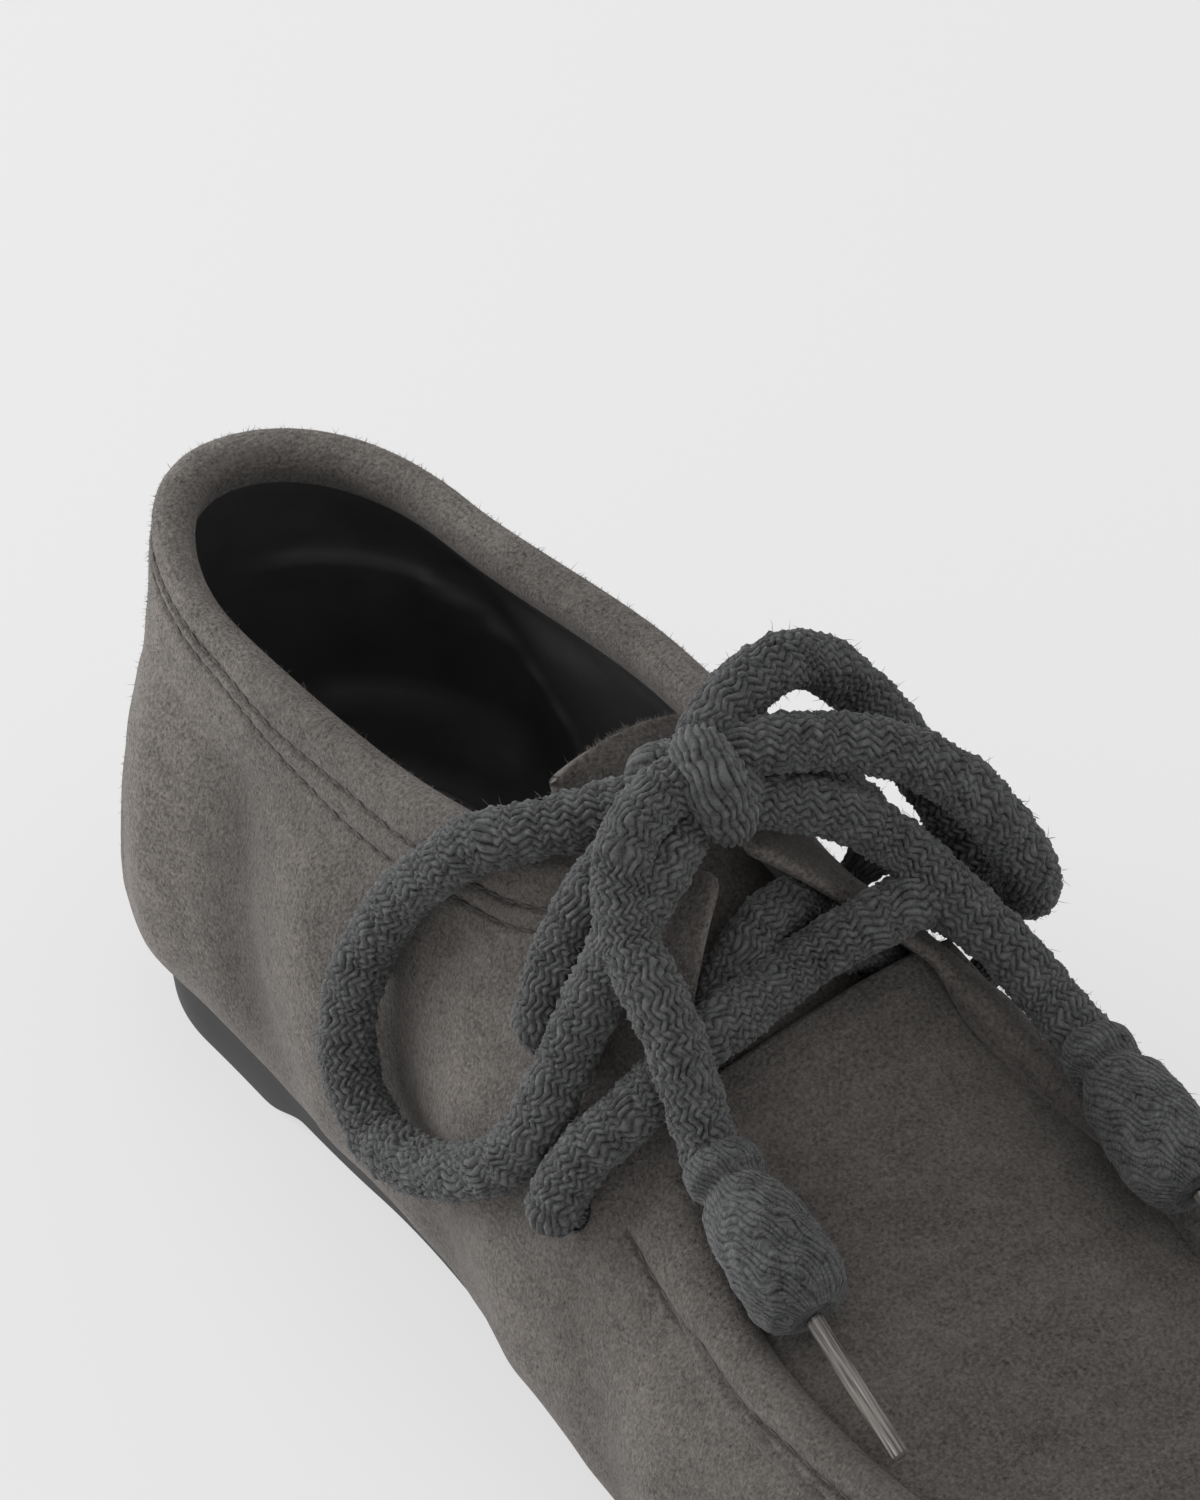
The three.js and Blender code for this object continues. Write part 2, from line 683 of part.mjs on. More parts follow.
function joined(geometries) {
  return geometries.map(toManifold).reduce((all, solid) => all.add(solid));
}

function ballGeometry(point, radius) {
  return new THREE.SphereGeometry(radius, ...ballSides).translate(...point);
}

// Cord along a route with round ends
function roundedCord(route, radius) {
  const ends = [route[0], route[route.length - 1]];
  return [cordGeometry(route, radius), ...ends.map((point) => ballGeometry(point, radius))];
}

// The lace inside an eyelet, between two distances from the middle of the wall's outer face
function neckGeometry(frame, from, to) {
  const profile = [[0, 0], [pressedRadius, 0], [pressedRadius, to - from], [0, to - from]];
  return rodGeometry(beyond(frame, from), beyond(frame, to), profile);
}

// The bar over the throat, through the lower eyelets, and the two crossed legs up to the upper ones
function barsSolid(extra) {
  const inside = -(wall + clearance + pressedRadius);
  const above = laceRadius + seat;
  const lateral = beyond(frames.lateral_lower, above);
  const medial = beyond(frames.medial_lower, above);
  const legs = [
    { low: frames.lateral_lower, high: frames.medial_upper, route: legRoute },
    { low: frames.medial_lower, high: frames.lateral_upper, route: mirrored(legRoute) },
  ].flatMap(({ low, high, route }) => [
    ...roundedCord([beyond(low, inside), ...route, beyond(high, inside)], pressedRadius + extra),
    neckGeometry(low, inside, above),
    neckGeometry(high, inside, seat),
  ]);
  const shown = roundedCord(shownLegRoute, shownRadius + extra);
  return joined([...roundedCord([lateral, ...barRoute, medial], laceRadius + extra), ...shown, ...legs]);
}

function knotSolid(extra) {
  const above = laceRadius + 2 * seat + clearance;
  const start = beyond(frames.lateral_upper, above);
  const end = beyond(frames.medial_upper, above);
  const [halfLength, halfWidth, halfHeight] = knotSize.map((size) => size / 2 + extra);
  const core = new THREE.SphereGeometry(1, ...knotSides).scale(halfLength, halfWidth, halfHeight);
  const arch = roundedCord([start, ...archRoute, end], laceRadius + extra);
  const wrap = cordGeometry(wrapRoute, laceRadius + extra, wrapPitch);
  return joined([...arch, wrap, core.translate(...knotMiddle)]);
}

// A knot at a lace's end: a small tight turn, then the long bulb of the lace folded back on itself
const stopperTable = [
  { at: 0, radius: 0.5 },
  { at: 0.1, radius: 0.74 },
  { at: 0.2, radius: 0.78 },
  { at: 0.3, radius: 0.8 },
  { at: 0.42, radius: 0.95 },
  { at: 0.6, radius: 1 },
  { at: 0.8, radius: 0.93 },
  { at: 0.93, radius: 0.7 },
  { at: 1, radius: 0.35 },
];

// The stopper stands clear of the lace that runs into it and of its aglet
function stopperProfile(span, extra) {
  const start = 3 * clearance;
  const reach = span - start - clearance;
  const rows = stopperTable.map(({ at, radius }) => [radius * stopperRadius + extra, start + at * reach]);
  return [[0, rows[0][1]], ...rows, [0, rows[rows.length - 1][1]]];
}

function agletProfile(span) {
  return [[0, clearance], [agletRadius, clearance], [agletRadius, span], [0, span]];
}

const part = new THREE.Group();
const suede = new THREE.MeshStandardMaterial({ color: 0x57524c, roughness: 0.95, metalness: 0 });
const rubber = new THREE.MeshStandardMaterial({ color: 0x2e2e30, roughness: 0.7, metalness: 0 });
const lining = new THREE.MeshStandardMaterial({ color: 0x121212, roughness: 0.6, metalness: 0 });
const wool = new THREE.MeshStandardMaterial({ color: 0x3d4043, roughness: 1, metalness: 0 });
const sheath = new THREE.MeshStandardMaterial({ color: 0x8a7d6e, roughness: 0.2, metalness: 0 });

function place(name, geometry, material) {
  const mesh = new THREE.Mesh(geometry, material);
  mesh.name = name;
  part.add(mesh);
}

const sewn = toManifold(wallGeometry()).add(toManifold(plugGeometry()));
const upperSolid = Object.values(frames).reduce(
  (solid, frame) => solid.subtract(toManifold(eyeletCutter(frame))),
  sewn,
);
place('upper', fromManifold(upperSolid), suede);
place('outsole', outsoleGeometry(), rubber);
place('insole', insoleGeometry(), lining);
place('tongue', cleaned(tongueGeometry()), suede);

// Each lace piece is cut back where it presses on the ones laid before it
const laid = [];
function layLace(name, build, material = wool) {
  const solid = laid.reduce((rest, { grown }) => rest.subtract(grown), build(0));
  laid.push({ grown: build(clearance) });
  place(name, fromManifold(solid), material);
}

const cord = (route) => (extra) => toManifold(cordGeometry(route, laceRadius + extra));
const stopper = (span) => (extra) => toManifold(rodGeometry(
  span.from,
  span.to,
  stopperProfile(spanOf(span), extra),
));
const aglet = (span) => () => toManifold(rodGeometry(span.from, span.to, agletProfile(spanOf(span))));

layLace('lace_bars', barsSolid);
layLace('lace_knot', knotSolid);
layLace('lace_end_lateral', cord(lateralEndRoute));
layLace('lace_loop_lateral', cord(lateralLoopRoute));
layLace('lace_end_medial', cord(medialEndRoute));
layLace('lace_loop_medial', cord(medialLoopRoute));
layLace('end_knot_lateral', stopper(lateralStopper));
layLace('end_knot_medial', stopper(medialStopper));
layLace('aglet_lateral', aglet(lateralAglet), sheath);
layLace('aglet_medial', aglet(medialAglet), sheath);
part.position.x = -length / 2;

export default part;
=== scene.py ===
"""Suede lace-up moccasin: the finished surfaces of the right shoe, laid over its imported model.

Lengths are in metres, +X points to the toe, +Y to the medial side and +Z up. Along means the distance
from the back of the heel. The wall, the toe plug, the tongue, the foot bed and the sole are surfaces
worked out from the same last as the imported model, and the lace is a knitted cord on its own route.
"""
import math

import bmesh
import bpy
import numpy as np
from bpy.props import FloatProperty, FloatVectorProperty, IntProperty, PointerProperty
from mathutils import Matrix, Vector


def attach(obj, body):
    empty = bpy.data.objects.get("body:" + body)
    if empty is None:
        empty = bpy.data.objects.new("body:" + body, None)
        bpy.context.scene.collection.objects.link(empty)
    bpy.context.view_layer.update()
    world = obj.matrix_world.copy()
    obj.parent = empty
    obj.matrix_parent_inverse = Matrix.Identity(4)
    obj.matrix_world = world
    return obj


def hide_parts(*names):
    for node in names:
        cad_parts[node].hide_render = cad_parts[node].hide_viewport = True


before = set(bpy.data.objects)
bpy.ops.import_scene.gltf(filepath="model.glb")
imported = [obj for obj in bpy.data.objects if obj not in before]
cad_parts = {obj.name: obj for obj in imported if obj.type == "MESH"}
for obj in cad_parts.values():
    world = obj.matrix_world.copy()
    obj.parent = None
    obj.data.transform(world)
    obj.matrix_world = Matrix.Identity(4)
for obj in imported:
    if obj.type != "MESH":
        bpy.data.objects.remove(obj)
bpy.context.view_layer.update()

bl_info = {
    "name": "Suede lace-up moccasin",
    "version": (1, 0, 0),
    "blender": (4, 5, 0),
    "location": "3D Viewport > Sidebar > Moccasin",
    "description": "Builds the finished surfaces, laces and stage of a suede lace-up moccasin",
    "category": "Object",
}

# The last
LENGTH = 0.282
BALL_WIDTH = 0.102
HEEL_WIDTH = 0.072
HEEL_ROUND = 0.036
TOE_ROUND = 0.078
BACK_HEIGHT = 0.078
SIDE_HEIGHT = 0.073
TAB_HEIGHT = 0.0844
TAB_TILT = 0.0012
THROAT_HEIGHT = 0.062
THROAT_TILT = 0.0025
TOE_HEIGHT = 0.037
HEEL_BULGE = 0.027
FORE_BULGE = 0.017
TAB_ALONG = 0.132
THROAT_ALONG = 0.148
TAB_GAP = 0.006
THROAT_WIDTH = 0.049
PLUG_WIDTH = 0.063
TOE_WALL = 0.024
COLLAR_WIDTH = 0.046
COLLAR_ROUND = 0.030
BACK_LEAN = 0.0035
LAST_BEND = 0.015
SPRING_ALONG = 0.205
WAIST_ALONG = 0.050
ARCH_END = 0.125
FORE_ALONG = 0.200
FORE_START = 0.115
LEAN_END = 0.060
SEAM_LEAN = 0.0037
TOE_WALL_START = 0.010
ROUND_POWER = 2.1
TOE_POWER = 2.4
SEAM_TOE_POWER = 3
FACING_POWER = 0.85
TOE_WALL_POWER = 1.6
HEEL_BEND = 48
TAB_BEND = 14
FORE_BEND = 12
BEND_START = 0.050
BEND_TAB = 0.130
BEND_END = 0.190

# The upper's materials
WALL = 0.0022
ROLL_RADIUS = 0.0032
FACING_RADIUS = 0.0012
RIDGE_RADIUS = 0.0028
ROLL_FADE = 0.016
FACING_FULL = 0.002
RIDGE_START = 0.001
RIDGE_FULL = 0.008
UNDERLAP = 0.006
FEATHER_INSET = 0.0086
MARGIN = 0.009
CLEARANCE = 0.0003
PLUG_THICKNESS = 0.002
PLUG_SINK = 0.0002
PLUG_COLUMNS = 43
# Painted shade: the toe plug's suede is painted darker all over
PLUG_SHADE = -0.12

# The wall's relief and the tone of its suede, with painted shade in its troughs and along the raised seam
# and painted light on its ridges and heel
COLLAR_FADE = (0.014, 0.006)
SEAM_FADE = (0.001, 0.009)
CALM_BAND = (0.014, 0.024)
GROOVE_WIDTH = 0.0006
ROW_SWELL = 0.00022
SEAM_GROOVE_WIDTH = 0.0008
GATHER_LENGTH = 0.0058
GATHER_DOWN = 0.0018
GATHER_WIDTH = 0.0022
GATHER_HEIGHT = 0.00016
ROLL_FLATTENING = 3.08
SOFT_WAVE = 0.0004
FINE_WAVE = 0.00012
# Painted shade in the wall's troughs and painted light on its ridges
TROUGH_SHADE = 0.30
CREASE_FULL = 1 / 420
# Painted light on the heel, full up to 38 millimetres along and gone by 54
HEEL_PAINTED_LIGHT = 0.26
HEEL_PAINTED_LIGHT_FADE = (0.038, 0.054)
FACING_TONE = 0.35
# Painted shade along the raised seam's crest
RIDGE_SHADE = 0.25
FOLD_DEPTH = 0.0005
HAIR_TONE = 0.1
UNSEWN = {"first_line": 1, "second_line": 1, "seam_line": 1}

# The sole and the foot bed
HEEL_THICKNESS = 0.0116
WAIST_THICKNESS = 0.009
FORE_THICKNESS = 0.007
TOE_SPRING = 0.007
BREAST_ALONG = 0.052
BREAST_STEP = 0.0035
BREAST_RUN = 0.012
SOLE_OVERHANG = 0.0025
SOLE_DRAFT = 0.001
BED_THICKNESS = 0.004
BED_INSET = 0.0014
BED_EDGE = 0.0014
BED_FOOT = 0.0004
BED_DISH = 0.0012
# Painted light that makes the whole foot bed paler
BED_GLEAM = 0.35
SOLE_SPACING = 0.0014
BED_SPACING = 0.0022

# The tongue and the lace
TONGUE_THICKNESS = 0.0026
TONGUE_TIP_ALONG = 0.107
TONGUE_TIP_HEIGHT = 0.093
TONGUE_BASE = 0.0526
TONGUE_SEAT = 0.009
TONGUE_WIDTH = 0.044
TONGUE_TONE = -0.10
TONGUE_FIBRES = 2600
LACE_RADIUS = 0.0042
PRESSED_RADIUS = 0.0025
SHOWN_RADIUS = 0.0038
END_RADIUS = 0.0030
MOUTH_RADIUS = 0.0034
BAR_END_RADIUS = 0.0040
WRAP_RADIUS = 0.0046
CORE_RADIUS = 0.0054
EYELET_CLEARANCE = 0.0005
LACE_SEAT = 0.0008
LACE_TWIST = 25
FIBRE_RADIUS = 0.00004
HAIR_UV = (0.5, 0.25)
FRAY_LENGTH = 0.0026
HAIR_RADIUS = 0.00005
TUFT_RADIUS = 0.00008
TUFT_FIBRES = 420
STOPPER_RADIUS = 0.008
STOPPER_LINES = 16
STOPPER_POINTS = 28
STOPPER_WINDING = 13
STOPPER_RELIEF = 0.35
STOPPER_FUZZ = 1.6
AGLET_RADIUS = 0.0016
AGLET_FLATNESS = 0.82
BEAD_RADIUS = 0.00021

# The height of knitted yarn: a rib's width, how turns are staggered from line to line, and how they dip
RIB_WIDTH = 1.2
STAGGER = 0.2
STAGGER_TURN = 2.4
DIP_POWER = 0.8
DIP_FLOOR = 0.3
KNIT_MIDDLE = 0.6

# Unevenness of the lace: how strong each soft noise is, how long, and which one of its seed's
UNEVEN = {
    "radius": (0.04, 0.011, 0),
    "lumps": (0.32, 0.0026, 1),
    "turns": (0.25, 0.0070, 2),
    "lines": (0.28, 0.0065, 3),
    "skin": (0.00022, 0.0058, 4),
}

EYELETS = {
    "lateral_lower": {"side": -1, "along": 0.1435, "share": 0.52},
    "lateral_upper": {"side": -1, "along": 0.128, "share": 0.63},
    "medial_lower": {"side": 1, "along": 0.1435, "share": 0.52},
    "medial_upper": {"side": 1, "along": 0.128, "share": 0.63},
}

# Half width of the last at the bulge: shares of half the heel width and of half the ball width
LATERAL_OUTLINE = {
    "at": (0, 0.14, 0.3, 0.42, 0.64, 0.78, 1),
    "heel": (0.97, 1, 1.06, 0.6, 0, 0, 0),
    "ball": (0, 0, 0, 0.38, 0.98, 0.94, 0.78),
}
MEDIAL_OUTLINE = {
    "at": (0, 0.14, 0.3, 0.42, 0.6, 0.74, 1),
    "heel": (0.97, 1, 0.94, 0.55, 0, 0, 0),
    "ball": (0, 0, 0, 0.32, 0.96, 0.99, 0.88),
}

# The collar edge from the back of the heel to the tab corner
COLLAR = {
    "at": (0, 0.28, 0.55, 0.82, 1),
    "lateral": (0.8, 0.88, 0.93, 0.8, 0),
    "medial": (0.98, 1.06, 1.14, 0.88, 0),
    "tab": (0, 0, 0, 0, 1),
    "back": (1, 0, 0, 0, 0),
    "side": (0, 1, 0.86, 0.5, 0),
    "top": (0, 0, 0.14, 0.5, 1),
}

# The raised seam from the throat corner to the toe
SEAM = {
    "at": (0, 0.12, 0.38, 0.66, 1),
    "throat": (1, 0.3, 0, 0, 0),
    "plug": (0, 0.66, 1.02, 0.98, 0.86),
    "high": (1, 0.7, 0.26, 0.05, 0),
    "low": (0, 0.25, 0.8, 0.98, 0.93),
    "lean": (0, 0.3, 1, 0.7, 0),
}

# Distance from the raised seam's crest down to its sewn groove, by place along the seam
SEAM_LINE = {
    "at": (0, 0.055, 0.11, 0.19, 0.245, 0.345, 0.445, 0.6, 1),
    "lateral": (0.0157, 0.0155, 0.0140, 0.0123, 0.0106, 0.0100, 0.0090, 0.0086, 0.0080),
    "medial": (0.0110, 0.0108, 0.0104, 0.0098, 0.0094, 0.0090, 0.0087, 0.0085, 0.0080),
}

# The sole's underside from the heel breast to the toe tip
UNDERSIDE = {
    "at": (0, 0.2, 0.46, 0.5, 0.68, 0.84, 1),
    "step": (1, 1.15, 0.2, 0, 0, 0, 0),
    "spring": (0, 0, 0, 0, 0, 0.3, 1),
}

# The tongue from its seat to its tip
TONGUE = {
    "at": (0, 0.18, 0.36, 0.52, 0.7, 0.84, 0.95, 1),
    "rise": (0, 0.12, 0.31, 0.51, 0.7, 0.82, 0.95, 1),
    "width": (0.9, 1, 0.96, 0.9, 0.8, 0.59, 0.58, 0.54),
    "sag": (0.036, 0.1, 0.2, 0.36, 0.4, 0.28, 0.14, 0.07),
}

# A knot at a lace's end: a short turn under the cord, a fold, then the long bulb that it is pulled into
STOPPER = {
    "at": (0, 0.08, 0.17, 0.25, 0.33, 0.45, 0.62, 0.8, 0.93, 1),
    "radius": (0.45, 0.66, 0.70, 0.57, 0.72, 0.84, 0.93, 0.93, 0.78, 0.45),
}

# Distance from the collar's crest down to its two rows of stitches, by place along the collar
COLLAR_LINES = {
    "at": (0, 0.15, 0.25, 0.42, 0.55, 0.65, 0.78, 0.89, 1),
    "first": (0.0072, 0.0065, 0.0069, 0.0090, 0.0092, 0.0102, 0.0110, 0.0119, 0.0120),
    "second": (0.0092, 0.0080, 0.0088, 0.0117, 0.0136, 0.0145, 0.0144, 0.0158, 0.0160),
}

# The lace's route: along, sideways and up
BAR_ROUTE = (
    (0.1446, -0.0362, 0.0589), (0.1462, -0.0332, 0.0622), (0.148, -0.0285, 0.0666),
    (0.1485, -0.022, 0.0709), (0.1476, -0.015, 0.0723), (0.145, -0.005, 0.0715),
    (0.144, 0.004, 0.0725), (0.146, 0.012, 0.0756), (0.1472, 0.02, 0.0769), (0.1454, 0.027, 0.0723),
    (0.144, 0.033, 0.0655),
)
LEG_ROUTE = (
    (0.1418, -0.0288, 0.0525), (0.1406, -0.0257, 0.0558), (0.14, -0.0214, 0.0607),
    (0.1398, -0.0165, 0.0643), (0.1395, -0.011, 0.0676), (0.1385, -0.006, 0.071),
    (0.137, -0.001, 0.073), (0.136, 0.004, 0.074), (0.135, 0.009, 0.073), (0.1335, 0.014, 0.0698),
    (0.132, 0.018, 0.066),
)
SHOWN_LEG_ROUTE = (
    (0.1395, -0.0085, 0.07), (0.1385, -0.004, 0.073), (0.137, 0, 0.075), (0.136, 0.004, 0.0755),
    (0.135, 0.0075, 0.075),
)
ARCH_ROUTE = (
    (0.1268, -0.0266, 0.078), (0.1268, -0.022, 0.0855), (0.1265, -0.015, 0.0905),
    (0.127, -0.007, 0.0926), (0.127, 0.007, 0.0926), (0.1265, 0.016, 0.0886),
    (0.126, 0.0235, 0.082),
)
WRAP_ROUTE = (
    (0.1332, -0.0012, 0.0939), (0.1352, -0.0032, 0.0977), (0.1335, -0.0041, 0.1018),
    (0.1294, -0.0032, 0.1035), (0.1257, -0.001, 0.1014),
)
CORE_ROUTE = ((0.1225, -0.005, 0.0965), (0.126, -0.002, 0.0975), (0.1295, 0.001, 0.0965))
LATERAL_LOOP_ROUTE = (
    (0.1215, -0.0075, 0.093), (0.117, -0.0135, 0.0906), (0.112, -0.0198, 0.0878),
    (0.1055, -0.0258, 0.084), (0.101, -0.0289, 0.0783), (0.0965, -0.0313, 0.0722),
    (0.0925, -0.036, 0.0606), (0.0923, -0.04, 0.0495), (0.0957, -0.0418, 0.0418),
    (0.1034, -0.0432, 0.0375), (0.1135, -0.0438, 0.039), (0.123, -0.0431, 0.0438),
    (0.1305, -0.0418, 0.05), (0.1353, -0.0388, 0.0575), (0.136, -0.0352, 0.0645),
    (0.1362, -0.031, 0.072), (0.1364, -0.0273, 0.079), (0.1363, -0.0225, 0.0865),
    (0.134, -0.014, 0.092), (0.131, -0.008, 0.094),
)
LATERAL_END_ROUTE = (
    (0.1293, -0.0036, 0.0984), (0.1289, -0.008, 0.1002), (0.1299, -0.0128, 0.1),
    (0.1316, -0.0182, 0.0972), (0.134, -0.021, 0.0914), (0.1382, -0.023, 0.0866),
    (0.1443, -0.0244, 0.0836), (0.15, -0.025, 0.0792), (0.1539, -0.0256, 0.0746),
    (0.1568, -0.0258, 0.0694), (0.16, -0.026, 0.0646),
)
MEDIAL_LOOP_ROUTE = (
    (0.1287, 0.004, 0.1013), (0.131, 0.009, 0.101), (0.1325, 0.016, 0.099), (0.137, 0.024, 0.0963),
    (0.1425, 0.0325, 0.0894), (0.146, 0.0375, 0.0815), (0.1472, 0.0415, 0.0725),
    (0.1445, 0.0445, 0.0645), (0.137, 0.0455, 0.061), (0.1295, 0.0445, 0.066), (0.1235, 0.041, 0.076),
    (0.1196, 0.035, 0.088), (0.1186, 0.027, 0.0985), (0.1196, 0.0195, 0.1036), (0.1223, 0.0094, 0.1052),
    (0.1242, 0.0026, 0.1032), (0.125, 0, 0.1),
)
MEDIAL_END_ROUTE = (
    (0.1313, 0.0026, 0.0946), (0.1342, 0.0085, 0.0926), (0.1385, 0.015, 0.09), (0.1418, 0.0205, 0.0849),
    (0.1468, 0.025, 0.0782), (0.1516, 0.0275, 0.0735), (0.1563, 0.03, 0.0694), (0.163, 0.0322, 0.0638),
    (0.171, 0.0326, 0.0608),
)
LATERAL_STOPPER = ((0.16, -0.026, 0.0646), (0.187, -0.0292, 0.0546))
MEDIAL_STOPPER = ((0.171, 0.0326, 0.0608), (0.2005, 0.0286, 0.055))
LATERAL_AGLET = ((0.187, -0.0292, 0.0546), (0.2085, -0.0312, 0.0458))
MEDIAL_AGLET = ((0.2005, 0.0286, 0.055), (0.222, 0.029, 0.0443))

# Length of each span of the ring round the shoe, which gives the number of its points
RING_REACH = {"heel": 0.050, "collar": 0.100, "facing": 0.036, "vamp": 0.060, "toe": 0.096}
EDGE_SMOOTHING = 1.2
NORMAL_SMOOTHING = 2.5

# The camera's target, its shift across and up the view, its film's height in millimetres, and the lights:
# where each stands, what it is aimed at and how wide it is
CAMERA_TARGET = (-0.0207110, 0, 0.050)
CAMERA_SHIFT = (-0.0121567, 0.0369252)
FILM_HEIGHT = 24
FLOOR_REACH = 4.0
KEY_LIGHT = ((-0.90, -0.60, 0.45), (-0.08, 0, 0.04), 0.7)
TOP_LIGHT = ((0.1, 0.3, 2.0), (0, 0, 0), 1.6)


def hermite(t, start, leave, end, arrive):
    """Cubic from start to end with the slopes leave and arrive, while t goes from 0 to 1."""
    first = (2 * t**3 - 3 * t**2 + 1) * start + (t**3 - 2 * t**2 + t) * leave
    return first + (3 * t**2 - 2 * t**3) * end + (t**3 - t**2) * arrive


def read(table, column, place):
    """Values of a table's column at some places: cubics through its rows whose slopes there are harmonic
    means of the slopes beside them, or zero at a high or low row, so that the curve never overshoots."""
    xs = np.array(table["at"], float)
    ys = np.array(table[column], float)
    step = np.diff(xs)
    slope = np.diff(ys) / step
    before = 2 * step[1:] + step[:-1]
    after = step[1:] + 2 * step[:-1]
    same = slope[:-1] * slope[1:] > 0
    left = np.where(same, slope[:-1], 1)
    right = np.where(same, slope[1:], 1)
    inner = np.where(same, (before + after) / (before / left + after / right), 0)
    tangent = np.concatenate([slope[:1], inner, slope[-1:]])
    x = np.clip(place, xs[0], xs[-1])
    i = np.clip(np.searchsorted(xs, x, side="left") - 1, 0, len(step) - 1)
    t = (x - xs[i]) / step[i]
    return hermite(t, ys[i], step[i] * tangent[i], ys[i + 1], step[i] * tangent[i + 1])


def ease(x, start, end):
    """Smooth rise from 0 to 1 while x goes from start to end: 3t squared minus 2t cubed."""
    t = np.clip((np.asarray(x, float) - start) / (end - start), 0, 1)
    return t * t * (3 - 2 * t)


def rounding(along, heel, toe, power=TOE_POWER):
    """Share of the full width left at the heel and the toe: one quarter of a superellipse at each end."""
    back = np.clip(1 - along / heel, 0, 1)
    front = np.clip((along - LENGTH + toe) / toe, 0, 1)
    return np.sqrt(1 - back**ROUND_POWER) * (1 - front**power) ** (1 / ROUND_POWER)


def middle(along):
    """Sideways place of the shoe's middle line, which leans to the medial side at the heel."""
    return LAST_BEND * BALL_WIDTH * (THROAT_ALONG - along) / LENGTH


def feather_height(along):
    """Height of the feather line, where the wall meets the sole: three levels joined by eases."""
    front = WAIST_THICKNESS + (FORE_THICKNESS - WAIST_THICKNESS) * ease(along, FORE_START, FORE_ALONG)
    level = HEEL_THICKNESS + (front - HEEL_THICKNESS) * ease(along, WAIST_ALONG, ARCH_END)
    return level + TOE_SPRING * ease(along, SPRING_ALONG, LENGTH)


def bulge_height(along):
    """Height of the last's widest line."""
    fore = HEEL_BULGE + (FORE_BULGE - HEEL_BULGE) * ease(along, WAIST_ALONG, FORE_ALONG)
    return fore + TOE_SPRING * ease(along, SPRING_ALONG, LENGTH)


def by_side(side, lateral, medial):
    return np.where(side < 0, lateral, medial)


def bulge_points(side, along):
    """The last's widest line: half widths from the outline tables, rounded at the heel and the toe."""
    place = along / LENGTH
    halves = [
        read(table, "heel", place) * HEEL_WIDTH / 2 + read(table, "ball", place) * BALL_WIDTH / 2
        for table in (LATERAL_OUTLINE, MEDIAL_OUTLINE)
    ]
    half = by_side(side, *halves) * rounding(along, HEEL_ROUND, TOE_ROUND)
    return np.stack([along, middle(along) + side * half, bulge_height(along)], -1)


def edge_points(side, along):
    """The wall's upper edge: the collar up to the tab corner, the facing down to the throat, then the
    raised seam round the plug. The seam ends a toe wall's width behind the tip."""
    tab_top = TAB_HEIGHT + side * TAB_TILT
    throat_top = THROAT_HEIGHT + side * THROAT_TILT
    collar = along / TAB_ALONG
    collar_half = by_side(side, read(COLLAR, "lateral", collar), read(COLLAR, "medial", collar))
    collar_half = collar_half * COLLAR_WIDTH / 2 + read(COLLAR, "tab", collar) * TAB_GAP / 2
    collar_high = read(COLLAR, "back", collar) * BACK_HEIGHT + read(COLLAR, "side", collar) * SIDE_HEIGHT
    collar_high = collar_high + read(COLLAR, "top", collar) * tab_top
    facing = np.clip((along - TAB_ALONG) / (THROAT_ALONG - TAB_ALONG), 0, 1)
    facing_half = (TAB_GAP + (THROAT_WIDTH - TAB_GAP) * facing**FACING_POWER) / 2
    facing_high = tab_top + (throat_top - tab_top) * facing
    seam = (along - THROAT_ALONG) / (LENGTH - TOE_WALL - THROAT_ALONG)
    seam_half = read(SEAM, "throat", seam) * THROAT_WIDTH / 2 + read(SEAM, "plug", seam) * PLUG_WIDTH / 2
    seam_half = seam_half + by_side(side, read(SEAM, "lean", seam) * SEAM_LEAN, 0)
    seam_high = read(SEAM, "high", seam) * throat_top + read(SEAM, "low", seam) * TOE_HEIGHT
    on_collar = along <= TAB_ALONG
    on_facing = along <= THROAT_ALONG
    half = np.where(on_collar, collar_half, np.where(on_facing, facing_half, seam_half))
    high = np.where(on_collar, collar_high, np.where(on_facing, facing_high, seam_high))
    lean = BACK_LEAN * (1 - ease(along, 0, LEAN_END))
    pull = TOE_WALL * ease(along, THROAT_ALONG + TOE_WALL_START, LENGTH) ** TOE_WALL_POWER
    y = middle(along) + side * half * rounding(along, COLLAR_ROUND, TOE_ROUND, SEAM_TOE_POWER)
    return np.stack([along + lean - pull, y, high], -1)


def edge_radius(along):
    """Radius of the edge: a padded roll on the collar, thin on the tabs, a ridge along the seam."""
    thin = ease(along, TAB_ALONG - ROLL_FADE, TAB_ALONG - FACING_FULL)
    ridge = ease(along, THROAT_ALONG - RIDGE_START, THROAT_ALONG + RIDGE_FULL)
    return ROLL_RADIUS + (FACING_RADIUS - ROLL_RADIUS) * thin + (RIDGE_RADIUS - FACING_RADIUS) * ridge


def wall_points(low, high, along, share):
    """The wall between the bulge (share 0) and the edge (share 1), on part of an ellipse that leans in."""
    turned = TAB_BEND * ease(along, BEND_START, BEND_TAB) + FORE_BEND * ease(along, BEND_TAB, BEND_END)
    bend = np.radians(HEEL_BEND + turned)
    inward = (1 - np.cos(bend * share)) / (1 - np.cos(bend))
    upward = np.sin(bend * share) / np.sin(bend)
    points = low + (high - low) * inward[..., None]
    points[..., 2] = low[..., 2] + (high[..., 2] - low[..., 2]) * upward
    return points


def unit(vectors):
    return vectors / np.maximum(np.linalg.norm(vectors, axis=-1, keepdims=True), 1e-12)


def round_step(ring):
    """Direction along a closed ring of points at each of them."""
    return np.roll(ring, -1, axis=-2) - np.roll(ring, 1, axis=-2)


